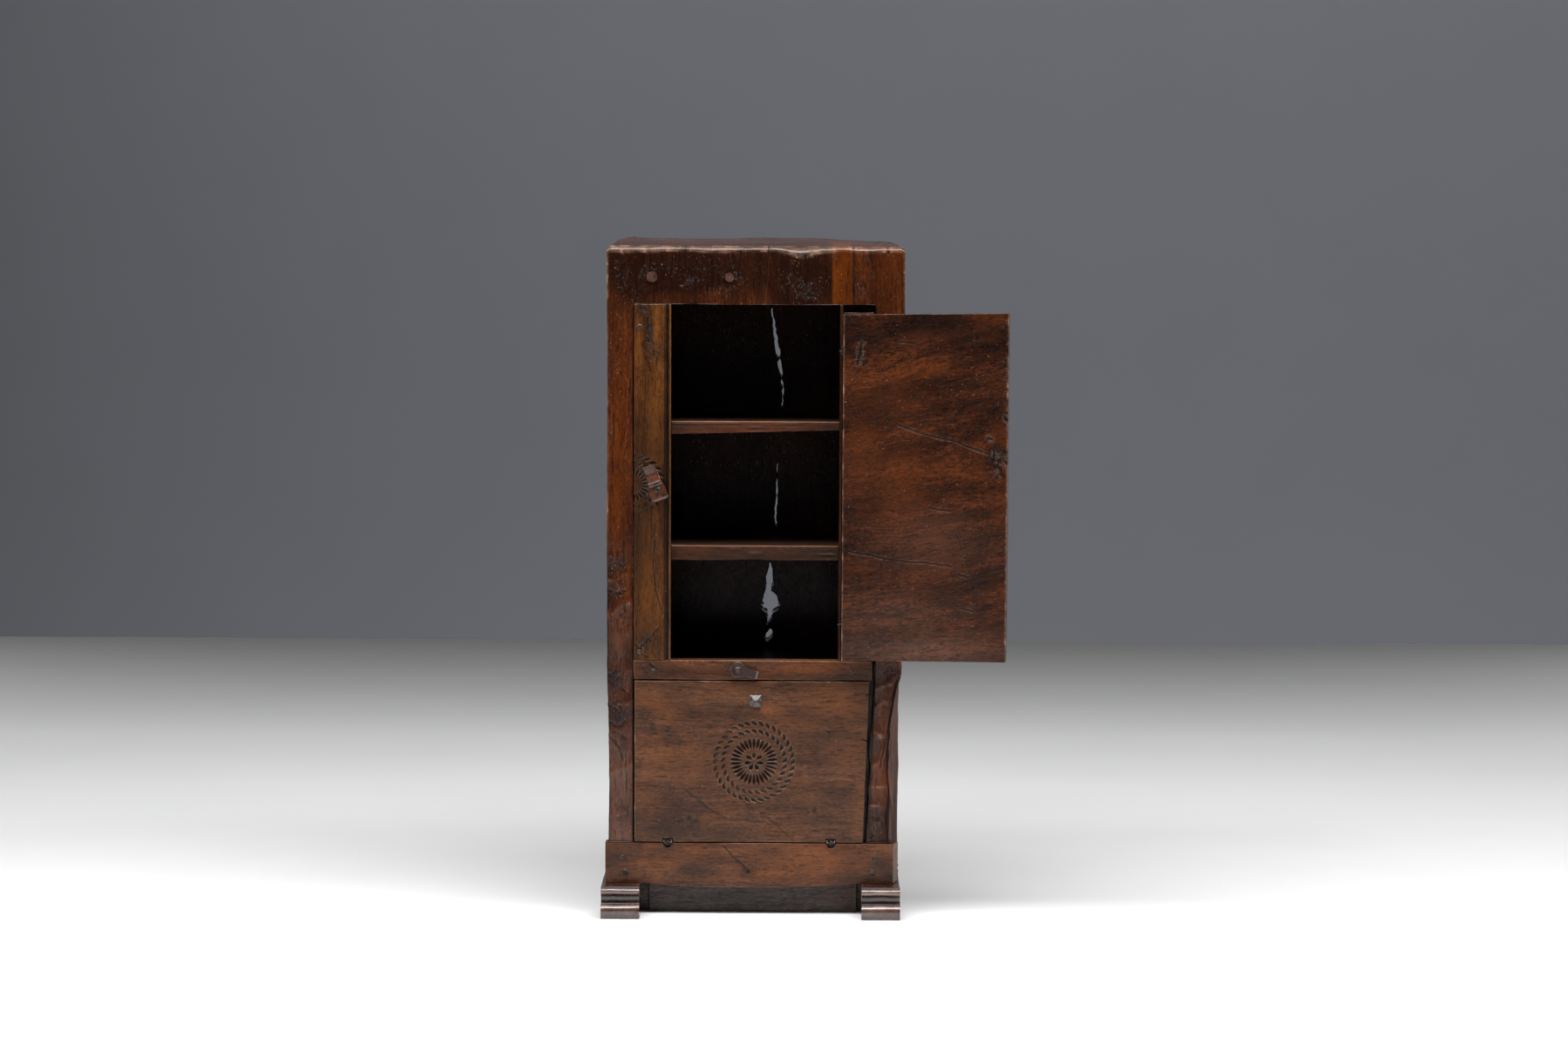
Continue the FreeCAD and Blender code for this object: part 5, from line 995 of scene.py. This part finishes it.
# its round head's radius, its thickness, its toe's end below the nail, and its nail's place
ROUND, THICK, TOE, nail_x, nail_z = 15, 7, -39.5, -30, 458.5
latch = Stock(lines([-ROUND, ROUND], [1.2]), lines([SEAT - THICK, SEAT], [1.4]),
              lines([TOE, 14.6], [1.1]))
u, y, v = latch.skin()
half = np.where(v > 0, np.sqrt(np.clip(ROUND ** 2 - v * v, 0, None)),
                np.interp(v, [TOE, -15, -8, 0], [7.25, 8.75, 12.5, ROUND]))
bevel = 3 * np.clip((TOE + 3 - v) / 3, 0, 1) * (SEAT - y) / THICK
latch.points[:, 0], latch.points[:, 1] = nail_x + u / ROUND * half, y + bevel
latch.points[:, 2] = nail_z + v
latch.points = latch.eased(2)
latch.turn(75, (0, 2), nail_x, nail_z)
latch.uneven(0.2, (9, 9, 16), 112)
latch.piece("flap_latch_lever", button_wood, "flap_latch", "button_wood", ["flap_latch"],
            wear_depth=0.3, burn=0.7)

# Room: a white floor that runs back to a blue-grey wall, a wide soft light over the front, a
# small one at the left, two that wash the wall, and two low ones beside the back. The floor's
# colour is painted dark far in front of the cabinet, standing in for a dark room there, and
# painted darker towards the wall, as shade.


def plane(name, corners, colour, rough, fade):
    """A flat sheet through four corners in metres, with a faint cloudy finish. Fade lists how
    bright its colour is painted along y, from its front edge (0) to its back one (1), as painted
    light and shade."""
    mesh = bpy.data.meshes.new(name)
    mesh.from_pydata(corners, [], [(0, 1, 2, 3)])
    material = bpy.data.materials.new(name)
    material.use_nodes = True
    start = Layer(material.node_tree)
    material.node_tree.nodes.clear()
    spot = start.add("TexCoord", output="Object")
    cloud = start.add("TexNoise", {"Vector": spot, "Scale": 2.0})
    depth = start.add("SeparateXYZ", {"Vector": spot}, output="Y").share(-7, 3.93)
    shade = start.add("ValToRGB", {"Fac": depth},
                      stops=[(place, tuple(np.array(colour) * share)) for place, share in fade])
    shade = shade.towards((0, 0, 0, 1), cloud.share(0.4, 0.7) * 0.02)
    surface = start.add("BsdfPrincipled", {"Base Color": shade, "Roughness": rough})
    start.add("OutputMaterial", {"Surface": surface})
    mesh.materials.append(material)
    sheet = bpy.data.objects.new(name, mesh)
    bpy.context.collection.objects.link(sheet)


# painted shade: the floor is dark far in front, standing in for a dark room, fully bright under the
# light, and darker towards the wall
plane("studio_floor", [(-9, -7, 0), (9, -7, 0), (9, 3.93, 0), (-9, 3.93, 0)], (0.85,) * 3, 0.7,
      [(0, 0.2), (0.3, 0.3), (0.48, 1), (0.83, 1), (1, 0.5)])
plane("studio_wall", [(-30, 9, -5), (30, 9, -5), (30, 9, 9), (-30, 9, 9)], (0.195, 0.2, 0.222), 0.9,
      [(0, 1), (1, 1)])

world = bpy.data.worlds.new("room_light")
world.use_nodes = True
air = world.node_tree.nodes["Background"].inputs
air["Color"].default_value, air["Strength"].default_value = (0.92, 0.96, 1, 1), 0.03
bpy.context.scene.world = world
for name, place, angles, size, power in (
    ("over_light", (0.3, -0.95, 3.3), (0, 0, 0), (7.5, 1.0), 308),
    ("front_light", (-2.2, -2.6, 2.4), (64, 0, -40), (1.2, 1.2), 9),
    ("wall_light", (2, 5.4, 4.0), (72, 0, 0), (12, 1.5), 170),
    ("low_wall_light", (2, 5.6, -2.2), (108, 0, 0), (12, 1.5), 130),
    ("back_left_light", (-3.8, 3.2, 0.9), (88, 0, 233), (1.5, 1.0), 14),
    ("back_right_light", (3.8, 3.2, 0.9), (88, 0, 127), (1.5, 1.0), 14),
):
    lamp = bpy.data.lights.new(name, "AREA")
    lamp.energy, lamp.shape, (lamp.size, lamp.size_y) = power, "RECTANGLE", size
    light = bpy.data.objects.new(name, lamp)
    light.location, light.rotation_euler = place, [radians(a) for a in angles]
    bpy.context.collection.objects.link(light)

# Camera: 6 m away and 1.28 m up, with a long lens, tilted 5.3 degrees down.

bpy.context.scene.view_settings.view_transform = "Standard"
lens = bpy.data.cameras.new("camera")
lens.lens, lens.sensor_width = 75.04, 36
camera = bpy.data.objects.new("camera", lens)
camera.location, camera.rotation_mode = (0.0535, -6.0, 1.2823), "ZYX"
camera.rotation_euler = (radians(90 - 5.3), 0, radians(0.3))
bpy.context.collection.objects.link(camera)
bpy.context.scene.camera = camera
